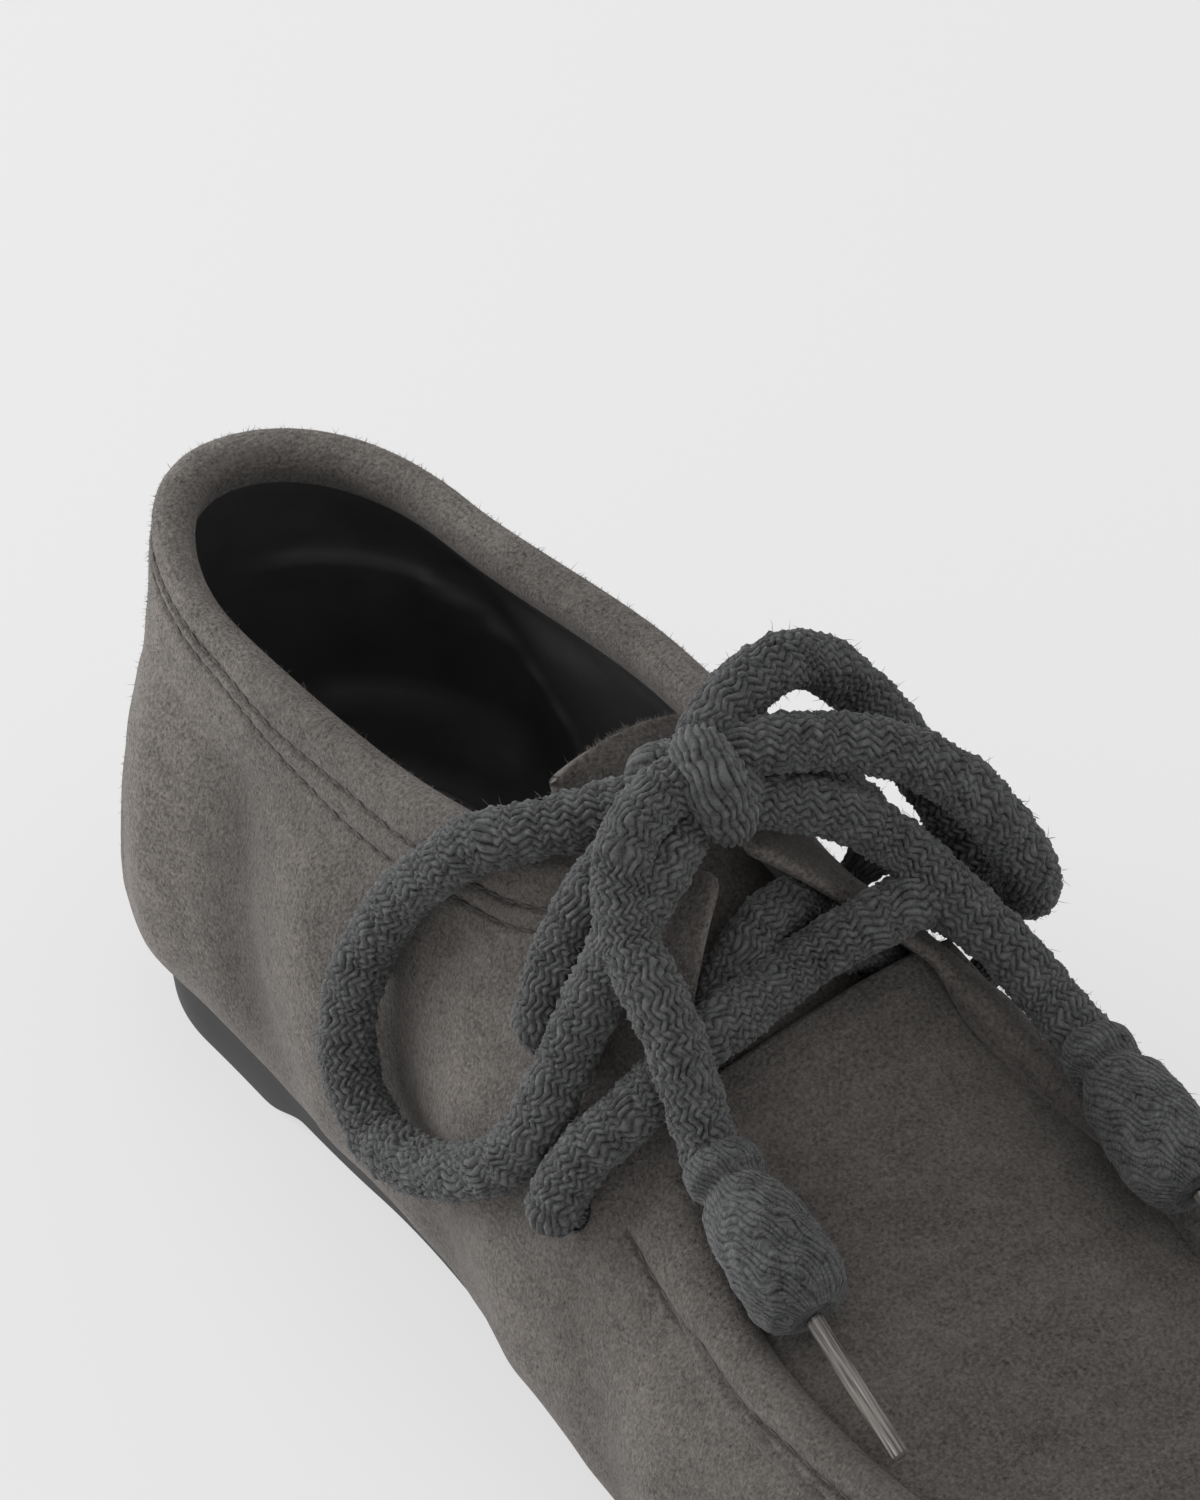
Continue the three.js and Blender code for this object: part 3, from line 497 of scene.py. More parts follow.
def smoothed(ring, width):
    """A closed ring of values averaged with a bell curve whose width is a number of places."""
    reach = int(math.ceil(3 * width))
    weights = np.exp(-0.5 * (np.arange(-reach, reach + 1) / width) ** 2)
    weights /= weights.sum()
    return sum(w * np.roll(ring, k, axis=0) for k, w in zip(range(-reach, reach + 1), weights))


def shoe_ring(spacing):
    """Places round the shoe about one spacing apart: lateral from heel to toe, then medial back. Heel and
    toe are spaced by the angle of their round, and the facings closer, because they run down steeply."""
    counts = {name: round(reach / spacing) for name, reach in RING_REACH.items()}
    heel = HEEL_ROUND * (1 - np.cos(np.linspace(0, np.pi / 2, counts["heel"], endpoint=False)))
    spans = [
        np.linspace(start, end, counts[name], endpoint=False)
        for start, end, name in (
            (HEEL_ROUND, TAB_ALONG, "collar"),
            (TAB_ALONG, THROAT_ALONG, "facing"),
            (THROAT_ALONG, LENGTH - TOE_ROUND, "vamp"),
        )
    ]
    toe = LENGTH - TOE_ROUND * (1 - np.sin(np.linspace(0, np.pi / 2, counts["toe"])))
    along = np.concatenate([heel, *spans, toe])
    back = along[-2:0:-1]
    side = np.concatenate([-np.ones(len(along)), np.ones(len(back))])
    return side, np.concatenate([along, back]), len(along)


def placed(points):
    """Points given by their distance along the shoe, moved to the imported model's frame."""
    return np.asarray(points, float) - np.array([LENGTH / 2, 0, 0])


class Last:
    """The wall's rings: foot turns from the feather line (0) to the bulge (1), then shares of the wall up
    to its edge, with the outward directions, and the edge's own directions."""

    def __init__(self, spacing, turns, shares):
        self.side, self.along, self.half_count = shoe_ring(spacing)
        self.bulge = bulge_points(self.side, self.along)
        self.edge = smoothed(edge_points(self.side, self.along), EDGE_SMOOTHING)
        out = round_step(self.bulge)
        self.outward = unit(np.stack([out[:, 1], -out[:, 0], np.zeros(len(out))], -1))
        angle = np.asarray(turns)[:, None] * np.pi / 2
        inset = FEATHER_INSET * (1 - np.sin(angle))
        foot = self.bulge[None] - self.outward[None] * inset[..., None]
        low = feather_height(foot[..., 0])
        foot[..., 2] = low + (self.bulge[None, :, 2] - low) * (1 - np.cos(angle))
        share = np.asarray(shares)[:, None] * np.ones(len(self.along))
        wall = wall_points(self.bulge[None], self.edge[None], self.along[None], share)
        self.rings = np.concatenate([foot, wall])
        self.share = np.concatenate([np.zeros(len(turns)), shares])
        self.normals = unit(np.cross(round_step(self.rings), np.gradient(self.rings, axis=0)))
        self.normals = unit(np.stack([smoothed(row, NORMAL_SMOOTHING) for row in self.normals]))
        self.top = self.normals[-1]
        self.over = unit(np.cross(self.top, round_step(self.edge)))
        self.over = unit(smoothed(self.over, NORMAL_SMOOTHING))
        self.radius = edge_radius(self.along)


class Surface:
    """Gathers grids and loose faces of points into one mesh object."""

    def __init__(self):
        self.points = []
        self.corners = []
        self.counts = []
        self.uvs = []
        self.kinds = []
        self.marks = {}
        self.total = 0

    def grid(self, points, uv, round_rows=False, round_columns=False, kind=0, **marks):
        """A grid of quads facing along columns cross rows. Its uv grid has one more row or column where
        the grid closes on itself, and kind is a material number for the grid or for each row."""
        rows, columns = points.shape[:2]
        j, i = np.meshgrid(
            np.arange(rows - (not round_rows)), np.arange(columns - (not round_columns)), indexing="ij"
        )
        turns = [(j, i), (j, i + 1), (j + 1, i + 1), (j + 1, i)]
        corners = [self.total + (a % rows) * columns + b % columns for a, b in turns]
        self.corners.append(np.stack(corners, -1).ravel())
        self.counts.append(np.full(j.size, 4))
        self.uvs.append(np.stack([uv[a, b] for a, b in turns], -2).reshape(-1, 2))
        kinds = np.broadcast_to(np.asarray(kind).reshape(-1, 1), (j.shape[0], j.shape[1]))
        self.kinds.append(kinds.ravel())
        self._points(points.reshape(-1, 3), marks)

    def cap(self, start, count, backwards=False):
        """One flat face over a ring of points that is already there."""
        ring = start + np.arange(count)
        self.corners.append(ring[::-1] if backwards else ring)
        self.counts.append(np.array([count]))
        self.uvs.append(np.zeros((count, 2)))
        self.kinds.append(np.array([self.kinds[-1][-1]]))

    def tube(self, points, uv):
        """A grid that closes on itself round its rows, with a flat face over its first and its last row."""
        first = self.total
        rows, around = points.shape[:2]
        self.grid(points, uv, round_columns=True)
        self.cap(first, around, backwards=True)
        self.cap(first + (rows - 1) * around, around)

    def faces(self, points, faces, uv, **marks):
        """Loose faces that all have as many corners."""
        self.more_faces(self.total, faces, uv)
        self._points(points, marks)

    def more_faces(self, first, faces, uv):
        """More loose faces over points that are already there, from the point numbered first on."""
        self.corners.append((first + faces).ravel())
        self.counts.append(np.full(len(faces), faces.shape[1]))
        self.uvs.append(uv[faces].reshape(-1, 2))
        self.kinds.append(np.zeros(len(faces), int))

    def _points(self, points, marks):
        self.points.append(points)
        for name in marks:
            self.marks.setdefault(name, [np.zeros(self.total)])
        for name, columns in self.marks.items():
            columns.append(np.broadcast_to(marks.get(name, 0.0), len(points)))
        self.total += len(points)

    def build(self, name, *materials):
        """The mesh object, smooth, with its uv map, its marks as attributes and its materials."""
        mesh = bpy.data.meshes.new(name)
        corners = np.concatenate(self.corners).astype(np.int32)
        counts = np.concatenate(self.counts)
        starts = np.concatenate([[0], np.cumsum(counts)[:-1]])
        mesh.vertices.add(self.total)
        mesh.vertices.foreach_set("co", np.concatenate(self.points).astype(np.float32).ravel())
        mesh.loops.add(len(corners))
        mesh.loops.foreach_set("vertex_index", corners)
        mesh.polygons.add(len(counts))
        mesh.polygons.foreach_set("loop_start", starts.astype(np.int32))
        mesh.polygons.foreach_set("material_index", np.concatenate(self.kinds).astype(np.int32))
        mesh.uv_layers.new(name="Surface").uv.foreach_set(
            "vector", np.concatenate(self.uvs).astype(np.float32).ravel()
        )
        for mark, columns in self.marks.items():
            attribute = mesh.attributes.new(mark, "FLOAT", "POINT")
            attribute.data.foreach_set("value", np.concatenate(columns).astype(np.float32))
        mesh.update(calc_edges=True)
        mesh.polygons.foreach_set("use_smooth", np.ones(len(counts), bool))
        for material in materials:
            mesh.materials.append(material)
        piece = bpy.data.objects.new(name, mesh)
        bpy.context.scene.collection.objects.link(piece)
        return piece


def travelled(points):
    """Distance from a line's first point to each of its points, along the line."""
    return np.concatenate([[0], np.cumsum(np.linalg.norm(np.diff(points, axis=0), axis=1))])


def at_distances(places, distance, values):
    """Values along a line at some distances, from those that its points hold."""
    return np.stack([np.interp(places, distance, values[:, k]) for k in range(3)], -1)


def length_uv(points, round_rows=False, round_columns=False):
    """A uv grid in metres: u is the distance along the middle row and v the distance up the columns."""
    rows, columns = points.shape[:2]
    row = points[rows // 2]
    if round_columns:
        row = np.vstack([row, row[:1]])
    middle_column = points[:, columns // 2]
    if round_rows:
        middle_column = np.vstack([middle_column, middle_column[:1]])
    return np.stack(np.meshgrid(travelled(row), travelled(middle_column)), -1)


def waves(points, size, seed, count=7):
    """Soft noise between about -1 and 1: a sum of sines of chosen random directions, each one size long."""
    rng = np.random.default_rng(seed)
    directions = unit(rng.normal(size=(count, 3))) * (2 * np.pi / size) * rng.uniform(0.7, 1.4, (count, 1))
    phases = rng.uniform(0, 2 * np.pi, count)
    return np.sin(points @ directions.T + phases).sum(-1) / math.sqrt(2 * count)


def bell(distance, width):
    """Bell curve of a distance: 1 at zero, and about a third at one width."""
    return np.exp(-((distance / width) ** 2))


def merge_doubles(piece, distance=1e-6):
    """Joins points that coincide, so that seams and poles are closed."""
    work = bmesh.new()
    work.from_mesh(piece.data)
    bmesh.ops.remove_doubles(work, verts=work.verts, dist=distance)
    bmesh.ops.dissolve_degenerate(work, edges=work.edges, dist=1e-9)
    work.to_mesh(piece.data)
    work.free()


def finish_piece(piece, slot, *nodes):
    """The piece rides with the shoe and replaces nodes; its slot is not used."""
    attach(piece, "root")
    if nodes:
        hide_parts(*nodes)
    return piece


def centreline(route, spacing):
    """A smooth curve through a route's points in nearly equal steps, and the distance of each route point
    along it. Each stretch is a cubic with the tangents of a Catmull-Rom curve whose knots are the square
    roots of the distances between its points."""
    points = np.asarray(route, float)
    padded = np.vstack([2 * points[0] - points[1], points, 2 * points[-1] - points[-2]])
    knots = np.sqrt(np.linalg.norm(np.diff(padded, axis=0), axis=1))
    before, start, end, after = padded[:-3], padded[1:-2], padded[2:-1], padded[3:]
    p, q, r = knots[:-2, None], knots[1:-1, None], knots[2:, None]
    leave = ((start - before) / p - (end - before) / (p + q) + (end - start) / q) * q
    arrive = ((end - start) / q - (after - start) / (q + r) + (after - end) / r) * q
    fine = 60
    t = np.linspace(0, 1, fine, endpoint=False)[None, :, None]
    curve = hermite(t, start[:, None], leave[:, None], end[:, None], arrive[:, None])
    curve = np.vstack([curve.reshape(-1, 3), points[-1:]])
    distance = travelled(curve)
    places = np.linspace(0, distance[-1], max(2, round(distance[-1] / spacing) + 1))
    return at_distances(places, distance, curve), places, distance[::fine]


def carried_frames(path):
    """Two directions square to a path at each of its points, carried along it without twisting."""
    tangents = unit(np.gradient(path, axis=0))
    guess = np.array([0.0, 0.0, 1.0]) if abs(tangents[0, 2]) < 0.9 else np.array([1.0, 0.0, 0.0])
    across = []
    for tangent in tangents:
        guess = guess - tangent * (guess @ tangent)
        guess = guess / np.linalg.norm(guess)
        across.append(guess)
    across = np.array(across)
    return tangents, across, np.cross(tangents, across)


def spokes_at(across, other, angle):
    """Directions square to a path, for a row of angles at each of its points."""
    return across[:, None] * np.cos(angle)[..., None] + other[:, None] * np.sin(angle)[..., None]


def full_turn(count):
    """So many angles round a circle."""
    return np.linspace(0, 2 * np.pi, count, endpoint=False)


def zigzag(places):
    """A wave of straight lines between 0 and 1, one wave for each whole number."""
    return np.abs(2 * np.mod(places, 1) - 1)


def knit_height(lines, turns):
    """Height from 0 to 1 of knitted yarn: a round rib for each line of yarn, which dips where it turns,
    a little earlier or later than the line beside it."""
    rib = np.minimum(RIB_WIDTH * zigzag(lines), 1)
    staggered = turns + STAGGER * np.sin(STAGGER_TURN * np.floor(lines))
    dip = np.maximum(np.sin(np.pi * zigzag(staggered)), 0) ** DIP_POWER
    return np.sqrt(1 - rib**2) * (DIP_FLOOR + (1 - DIP_FLOOR) * dip)


def knit_uv(lines, turns, yarns):
    """A uv grid that holds the number of the line of yarn and of its turn, closed after so many yarns."""
    closed_lines = np.concatenate([lines, lines[:, :1] + yarns], axis=1)
    closed_turns = np.concatenate([turns, turns[:, :1]], axis=1)
    return np.stack([closed_lines, closed_turns], -1)


def uneven(name, points, seed):
    """One of the lace's soft noises at some points."""
    strength, size, step = UNEVEN[name]
    return strength * waves(points, size, seed + step)


def three_sided(directions, side):
    """Three directions square to each hair, one of them its side."""
    other = np.cross(directions, side)
    angles = full_turn(3)
    return side[:, None] * np.cos(angles)[None, :, None] + other[:, None] * np.sin(angles)[None, :, None]


def fibres(surface, roots, directions, lengths, thickness, bends):
    """Adds thin tapered hairs: a three-sided foot, a three-sided middle that is bent aside, and a tip."""
    offset = three_sided(directions, unit(np.cross(directions, bends + 1e-6)))
    reach = lengths[:, None]
    middle_point = roots + directions * reach * 0.5 + bends * reach * 0.15
    tip = roots + directions * reach * 0.7 + bends * reach * 0.5
    foot_ring = roots[:, None] + offset * thickness
    middle_ring = middle_point[:, None] + offset * thickness * 0.8
    points = np.concatenate([foot_ring, middle_ring, tip[:, None]], axis=1).reshape(-1, 3)
    uv = np.full((len(points), 2), HAIR_UV)
    base = np.arange(len(roots))[:, None, None] * 7
    sides = np.array([[0, 1, 4, 3], [1, 2, 5, 4], [2, 0, 3, 5]])
    tips = np.array([[3, 4, 6], [4, 5, 6], [5, 3, 6], [2, 1, 0]])
    first = surface.total
    surface.faces(points, (base + sides[None]).reshape(-1, 4), uv)
    surface.more_faces(first, (base + tips[None]).reshape(-1, 3), uv)


def bristles(surface, roots, directions, lengths, thickness, **marks):
    """Adds short straight hairs: spikes with a three-sided foot."""
    offset = three_sided(directions, unit(np.cross(directions, np.roll(directions, 1, axis=1) + 1e-6)))
    foot = roots[:, None] + offset * thickness
    tip = roots + directions * lengths[:, None]
    points = np.concatenate([foot, tip[:, None]], axis=1).reshape(-1, 3)
    corners = np.array([[0, 1, 3], [1, 2, 3], [2, 0, 3], [2, 1, 0]])
    faces = (np.arange(len(roots))[:, None, None] * 4 + corners[None]).reshape(-1, 3)
    surface.faces(points, faces, np.full((len(points), 2), HAIR_UV), **marks)


class Knit:
    """Sizes of the lace's knitting, read from the settings."""

    def __init__(self, settings):
        self.lines = settings.lines
        self.wave = settings.wave
        self.relief = settings.relief
        self.slant = settings.slant
        self.around = 5 * settings.lines
        self.spacing = settings.wave / 6.5
        self.fuzz = settings.fuzz
        self.fuzz_length = settings.fuzz_length
        self.reach = settings.fuzz_reach

    def lengths(self, rng, count):
        """Lengths of loose fibres, most of them short."""
        return np.minimum(self.fuzz_length * rng.gamma(2.2, 0.42, count), self.reach)


def knit_tube(surface, knit, route, radii, seed, slant=1.0, ends=True, frays=()):
    """Adds a knitted cord along a route, with a radius at each of its points. The surface is the radius
    plus the height of the knitting, in frames carried along the path. Soft noise moves the lines of yarn
    and their turns, so that no two are alike. It gets loose fibres, and long ones round its frays."""
    path, places, stations = centreline(route, knit.spacing)
    tangents, across, other = carried_frames(path)
    radius = np.interp(places, stations, np.asarray(radii, float))
    radius = radius * (1 + uneven("radius", path, seed))
    angle = full_turn(knit.around)[None, :] + 0 * places[:, None]
    spokes = spokes_at(across, other, angle + places[:, None] * LACE_TWIST + seed)
    body = path[:, None] + spokes * radius[:, None, None]
    turns = places[:, None] / knit.wave + uneven("turns", body, seed)
    shift = uneven("lines", body, seed) + knit.slant * slant * zigzag(turns)
    lines = angle / (2 * np.pi) * knit.lines + shift
    lumps = np.clip(1 + uneven("lumps", body, seed), 0.3, 1.6)
    skin = radius[:, None] + knit.relief * (knit_height(lines, turns) * lumps - KNIT_MIDDLE)
    skin = skin + uneven("skin", body, seed)
    grid = path[:, None] + spokes * skin[..., None]
    uv = knit_uv(lines, turns, knit.lines)
    if ends:
        reaches = np.sin(np.linspace(0, np.pi / 2, 6))[1:]
        for end, way in ((0, -1), (-1, 1)):
            domes = np.array([
                path[end] + tangents[end] * way * radius[end] * reach
                + spokes[end] * (skin[end] * max(math.sqrt(max(1 - reach**2, 0)), 0.02))[:, None]
                for reach in reaches
            ])
            copies = np.repeat(uv[[end]], len(domes), axis=0)
            grid = np.concatenate([domes[::-1], grid] if way < 0 else [grid, domes])
            uv = np.concatenate([copies, uv] if way < 0 else [uv, copies])
    surface.tube(grid, uv)
    rng = np.random.default_rng(seed)
    count = int(knit.fuzz * places[-1] * 2 * np.pi * radius.mean())
    row = rng.integers(0, len(path), count)
    column = rng.integers(0, knit.around, count)
    out = spokes[row, column]
    roots = path[row] + out * (skin[row, column] * 0.96)[:, None]
    wild = unit(rng.normal(size=(count, 3)))
    way = tangents[row] * rng.choice([-1, 1], count)[:, None]
    directions = unit(out * 0.5 + wild * 0.55 + way * 0.75)
    lengths = knit.lengths(rng, count)
    bent = lengths > knit.fuzz_length
    fibres(
        surface, roots[bent], directions[bent], lengths[bent], FIBRE_RADIUS,
        unit(wild + way * 0.6 + out * 0.1)[bent],
    )
    bristles(surface, roots[~bent], directions[~bent], lengths[~bent], FIBRE_RADIUS)
    for place, amount in frays:
        picked = np.abs(places[row] / places[-1] - place) < 0.045
        chosen = rng.choice(np.flatnonzero(picked), amount)
        fibres(
            surface, roots[chosen], unit(out[chosen] * 0.8 + wild[chosen] * 0.6 + way[chosen] * 0.7),
            rng.uniform(0.5, 1, amount) * FRAY_LENGTH, 2 * FIBRE_RADIUS, unit(wild[chosen] + way[chosen]),
        )
    return path


def eyelet_frame(name):
    """The middle of an eyelet on the wall and the direction out of the shoe there."""
    hole = EYELETS[name]
    side = hole["side"]

    def at(along, share):
        along = np.array([along])
        low = bulge_points(side, along)
        high = edge_points(side, along)
        return wall_points(low, high, along, np.array([share]))[0]

    small = 0.001
    forward = at(hole["along"] + small, hole["share"]) - at(hole["along"] - small, hole["share"])
    up = at(hole["along"], hole["share"] + 0.02) - at(hole["along"], hole["share"] - 0.02)
    return at(hole["along"], hole["share"]), unit(np.cross(forward, up) * -side)


def beyond(name, distance):
    """A point over an eyelet: that distance out of the wall along its direction."""
    point, out = eyelet_frame(name)
    return point + out * distance


class MoccasinUpperSettings(bpy.types.PropertyGroup):
    """Sizes and colours of the suede wall, its seams and its lining."""

    grid: FloatProperty(
        name="Grid", description="Distance between the wall's points round the shoe",
        default=0.00118, min=0.0005, max=0.005, unit="LENGTH",
    )
    groove: FloatProperty(
        name="Stitch groove", description="Depth of the two grooves under the collar's roll",
        default=0.00055, min=0, max=0.002, unit="LENGTH",
    )
    pad: FloatProperty(
        name="Collar padding", description="How far the padded band under the collar's crest swells",
        default=0.0009, min=0, max=0.003, unit="LENGTH",
    )
    seam_groove: FloatProperty(
        name="Seam groove", description="Depth of the sewn groove outside the raised seam",
        default=0.0007, min=0, max=0.002, unit="LENGTH",
    )
    seam_roll: FloatProperty(
        name="Seam roll", description="How far the band between the raised seam and its groove swells",
        default=0.0010, min=0, max=0.003, unit="LENGTH",
    )
    crease: FloatProperty(
        name="Creases", description="Strength of the troughs and ridges of the wall, 1 as worn",
        default=1, min=0, max=2,
    )
    lining_start: FloatProperty(
        name="Lining start", description="Distance from the collar's crest down to the lining's edge",
        default=0.0072, min=0.002, max=0.02, unit="LENGTH",
    )
    stitch: FloatProperty(
        name="Stitch", description="Length of one stitch of the collar's rows",
        default=0.0031, min=0.001, max=0.01, unit="LENGTH",
    )
    nap: FloatProperty(
        name="Nap", description="Length of the loose fibres of the suede",
        default=0.00055, min=0, max=0.002, unit="LENGTH",
    )
    nap_count: IntProperty(
        name="Nap fibres", description="Number of loose fibres that stand off the suede",
        default=20000, min=0, max=48000,
    )
    suede: FloatVectorProperty(
        name="Suede", description="Colour of the suede", subtype="COLOR", size=3,
        default=(0.121, 0.111, 0.103), min=0, max=1,
    )
    lining: FloatVectorProperty(
        name="Lining", description="Colour of the lining leather", subtype="COLOR", size=3,
        default=(0.056, 0.056, 0.057), min=0, max=1,
    )


class MoccasinLaceSettings(bpy.types.PropertyGroup):
    """Sizes and colours of the knitted lace."""

    lines: IntProperty(
        name="Lines", description="Lines of yarn round the lace", default=20, min=8, max=48,
    )
    wave: FloatProperty(
        name="Wave", description="Length of one zigzag of a line of yarn",
        default=0.0030, min=0.001, max=0.008, unit="LENGTH",
    )
    slant: FloatProperty(
        name="Slant", description="Width of a zigzag, in distances between two lines",
        default=1.0, min=0, max=2,
    )
    relief: FloatProperty(
        name="Relief", description="Height of the yarn", default=0.00070, min=0, max=0.002, unit="LENGTH",
    )
    fuzz: FloatProperty(
        name="Fuzz", description="Loose fibres on each square metre of the lace",
        default=640000, min=0, max=1500000,
    )
    fuzz_length: FloatProperty(
        name="Fuzz length", description="Usual length of a loose fibre",
        default=0.0011, min=0, max=0.004, unit="LENGTH",
    )
    fuzz_reach: FloatProperty(
        name="Fuzz reach", description="Length of the longest loose fibre",
        default=0.0023, min=0, max=0.004, unit="LENGTH",
    )
    wool: FloatVectorProperty(
        name="Wool", description="Colour of the lace", subtype="COLOR", size=3,
        default=(0.096, 0.097, 0.098), min=0, max=1,
    )


class MoccasinSoleSettings(bpy.types.PropertyGroup):
    """Sizes and colours of the rubber sole."""

    edge: FloatProperty(
        name="Edge", description="Radius of the sole's rounded edges",
        default=0.0009, min=0.0002, max=0.002, unit="LENGTH",
    )
    rib: FloatProperty(
        name="Rib", description="Distance between two ribs of the tread",
        default=0.0042, min=0.002, max=0.01, unit="LENGTH",
    )
    rib_depth: FloatProperty(
        name="Rib depth", description="Depth of the grooves between the ribs",
        default=0.0007, min=0, max=0.002, unit="LENGTH",
    )
    rubber: FloatVectorProperty(
        name="Rubber", description="Colour of the sole", subtype="COLOR", size=3,
        default=(0.030, 0.030, 0.032), min=0, max=1,
    )


class MoccasinStageSettings(bpy.types.PropertyGroup):
    """The floor, the lights and the camera."""

    floor: FloatVectorProperty(
        name="Floor", description="Colour of the floor", subtype="COLOR", size=3,
        default=(0.2, 0.2, 0.2), min=0, max=1,
    )
    sky: FloatProperty(
        name="Sky", description="Strength of the even light from all round", default=0.70, min=0, max=5,
    )
    key: FloatProperty(
        name="Key light", description="Power of the large light at the lateral heel side",
        default=8, min=0, max=500, unit="POWER",
    )
    top: FloatProperty(
        name="Top light", description="Power of the large light overhead",
        default=1, min=0, max=500, unit="POWER",
    )
    azimuth: FloatProperty(
        name="Camera azimuth", description="Direction from the shoe to the camera, from lateral to toe",
        default=math.radians(53.523193), subtype="ANGLE",
    )
    elevation: FloatProperty(
        name="Camera elevation", description="The camera's height over the floor as an angle",
        default=math.radians(39.141359), subtype="ANGLE",
    )
    roll: FloatProperty(
        name="Camera roll", description="The camera's turn about its view", default=math.radians(-1.312393),
        subtype="ANGLE",
    )
    distance: FloatProperty(
        name="Camera distance", description="Distance from the camera to its target",
        default=1.123304, min=0.1, unit="LENGTH",
    )
    focal: FloatProperty(
        name="Focal length", description="Focal length as a share of the picture's height",
        default=5.180537, min=0.5,
    )


def add(tree, kind, sockets=None, **settings):
    """Adds a node. Settings are its own properties, and a socket is linked or set by name or number."""
    made = tree.nodes.new(kind)
    for key, value in settings.items():
        setattr(made, key, value)
    for name, value in (sockets or {}).items():
        socket = made.inputs[name]
        if isinstance(value, bpy.types.NodeSocket):
            tree.links.new(value, socket)
        else:
            socket.default_value = value
    return made


def sums(tree, operation, first, second=0.0, third=0.0, clamp=False):
    """One math step."""
    sockets = {0: first, 1: second, 2: third}
    return add(tree, "ShaderNodeMath", sockets, operation=operation, use_clamp=clamp).outputs[0]


def scaled(tree, value, factor, start):
    """A value times a factor plus a start."""
    return sums(tree, "MULTIPLY_ADD", value, factor, start)


def centred(tree, value, width):
    """Noise from 0 to 1 turned into a change of half the width either way."""
    return scaled(tree, value, width, -width / 2)


def zigzagged(tree, value):
    """The shader's own zigzag between 0 and 1, one wave for each whole number."""
    return sums(tree, "ABSOLUTE", scaled(tree, sums(tree, "FRACT", value), 2.0, -1.0))


def vary(tree, colour, amount):
    """A colour times a number that changes over the surface."""
    if not isinstance(colour, bpy.types.NodeSocket):
        colour = tuple(colour)[:3]
    return add(tree, "ShaderNodeVectorMath", {0: colour, "Scale": amount}, operation="SCALE").outputs[0]


def mixed(tree, factor, first, second):
    """A blend of two colours."""
    node = add(tree, "ShaderNodeMix", {0: factor, 6: first, 7: second}, data_type="RGBA")
    return node.outputs[2]


def noise(tree, vector, scale, detail=2.0, roughness=0.5):
    """Soft noise from 0 to 1 at a scale of so many lumps a metre."""
    sockets = {"Vector": vector, "Scale": scale, "Detail": detail, "Roughness": roughness}
    return add(tree, "ShaderNodeTexNoise", sockets, noise_dimensions="3D").outputs["Fac"]


def stretched(tree, vector, scale):
    """A position stretched along its axes."""
    return add(tree, "ShaderNodeVectorMath", {0: vector, 1: scale}, operation="MULTIPLY").outputs[0]


def group(name, inputs, outputs):
    """An empty node group with its named inputs and outputs."""
    tree = bpy.data.node_groups.new(name, "ShaderNodeTree")
    for title, kind, value in inputs:
        socket = tree.interface.new_socket(title, in_out="INPUT", socket_type=kind)
        if value is not None:
            socket.default_value = value
    for title, kind in outputs:
        tree.interface.new_socket(title, in_out="OUTPUT", socket_type=kind)
    return tree, tree.nodes.new("NodeGroupInput").outputs, tree.nodes.new("NodeGroupOutput").inputs


SOCKETS = {
    "roughness": "Roughness",
    "sheen": "Sheen Weight",
    "sheen_roughness": "Sheen Roughness",
    "sheen_tint": "Sheen Tint",
    "coat": "Coat Weight",
    "coat_roughness": "Coat Roughness",
    "specular": "Specular IOR Level",
    "glow": "Emission Strength",
    "glow_colour": "Emission Color",
    "colour": "Base Color",
}


def material(name, **constants):
    """A new material whose shader has these values on its own sockets."""
    made = bpy.data.materials.new(name)
    made.use_nodes = True
    shader = made.node_tree.nodes["Principled BSDF"]
    for key, value in constants.items():
        shader.inputs[SOCKETS[key]].default_value = value
    return made, made.node_tree, shader


def own_place(tree):
    """Coordinates on the piece itself."""
    return add(tree, "ShaderNodeTexCoord").outputs["Object"]


def attribute(tree, name):
    """A number that the mesh holds at each point."""
    return add(tree, "ShaderNodeAttribute", attribute_name=name).outputs["Fac"]


def link(tree, shader, name, value):
    """Gives the shader a value that changes over the surface."""
    tree.links.new(value, shader.inputs[name])


def bumped(tree, shader, height, strength, distance):
    """Gives the shader a bump of this strength, with a height in metres."""
    bump = add(tree, "ShaderNodeBump", {"Height": height, "Strength": strength, "Distance": distance})
    link(tree, shader, "Normal", bump.outputs["Normal"])


def colour_of(values):
    """A colour with its alpha."""
    return (*values, 1.0)


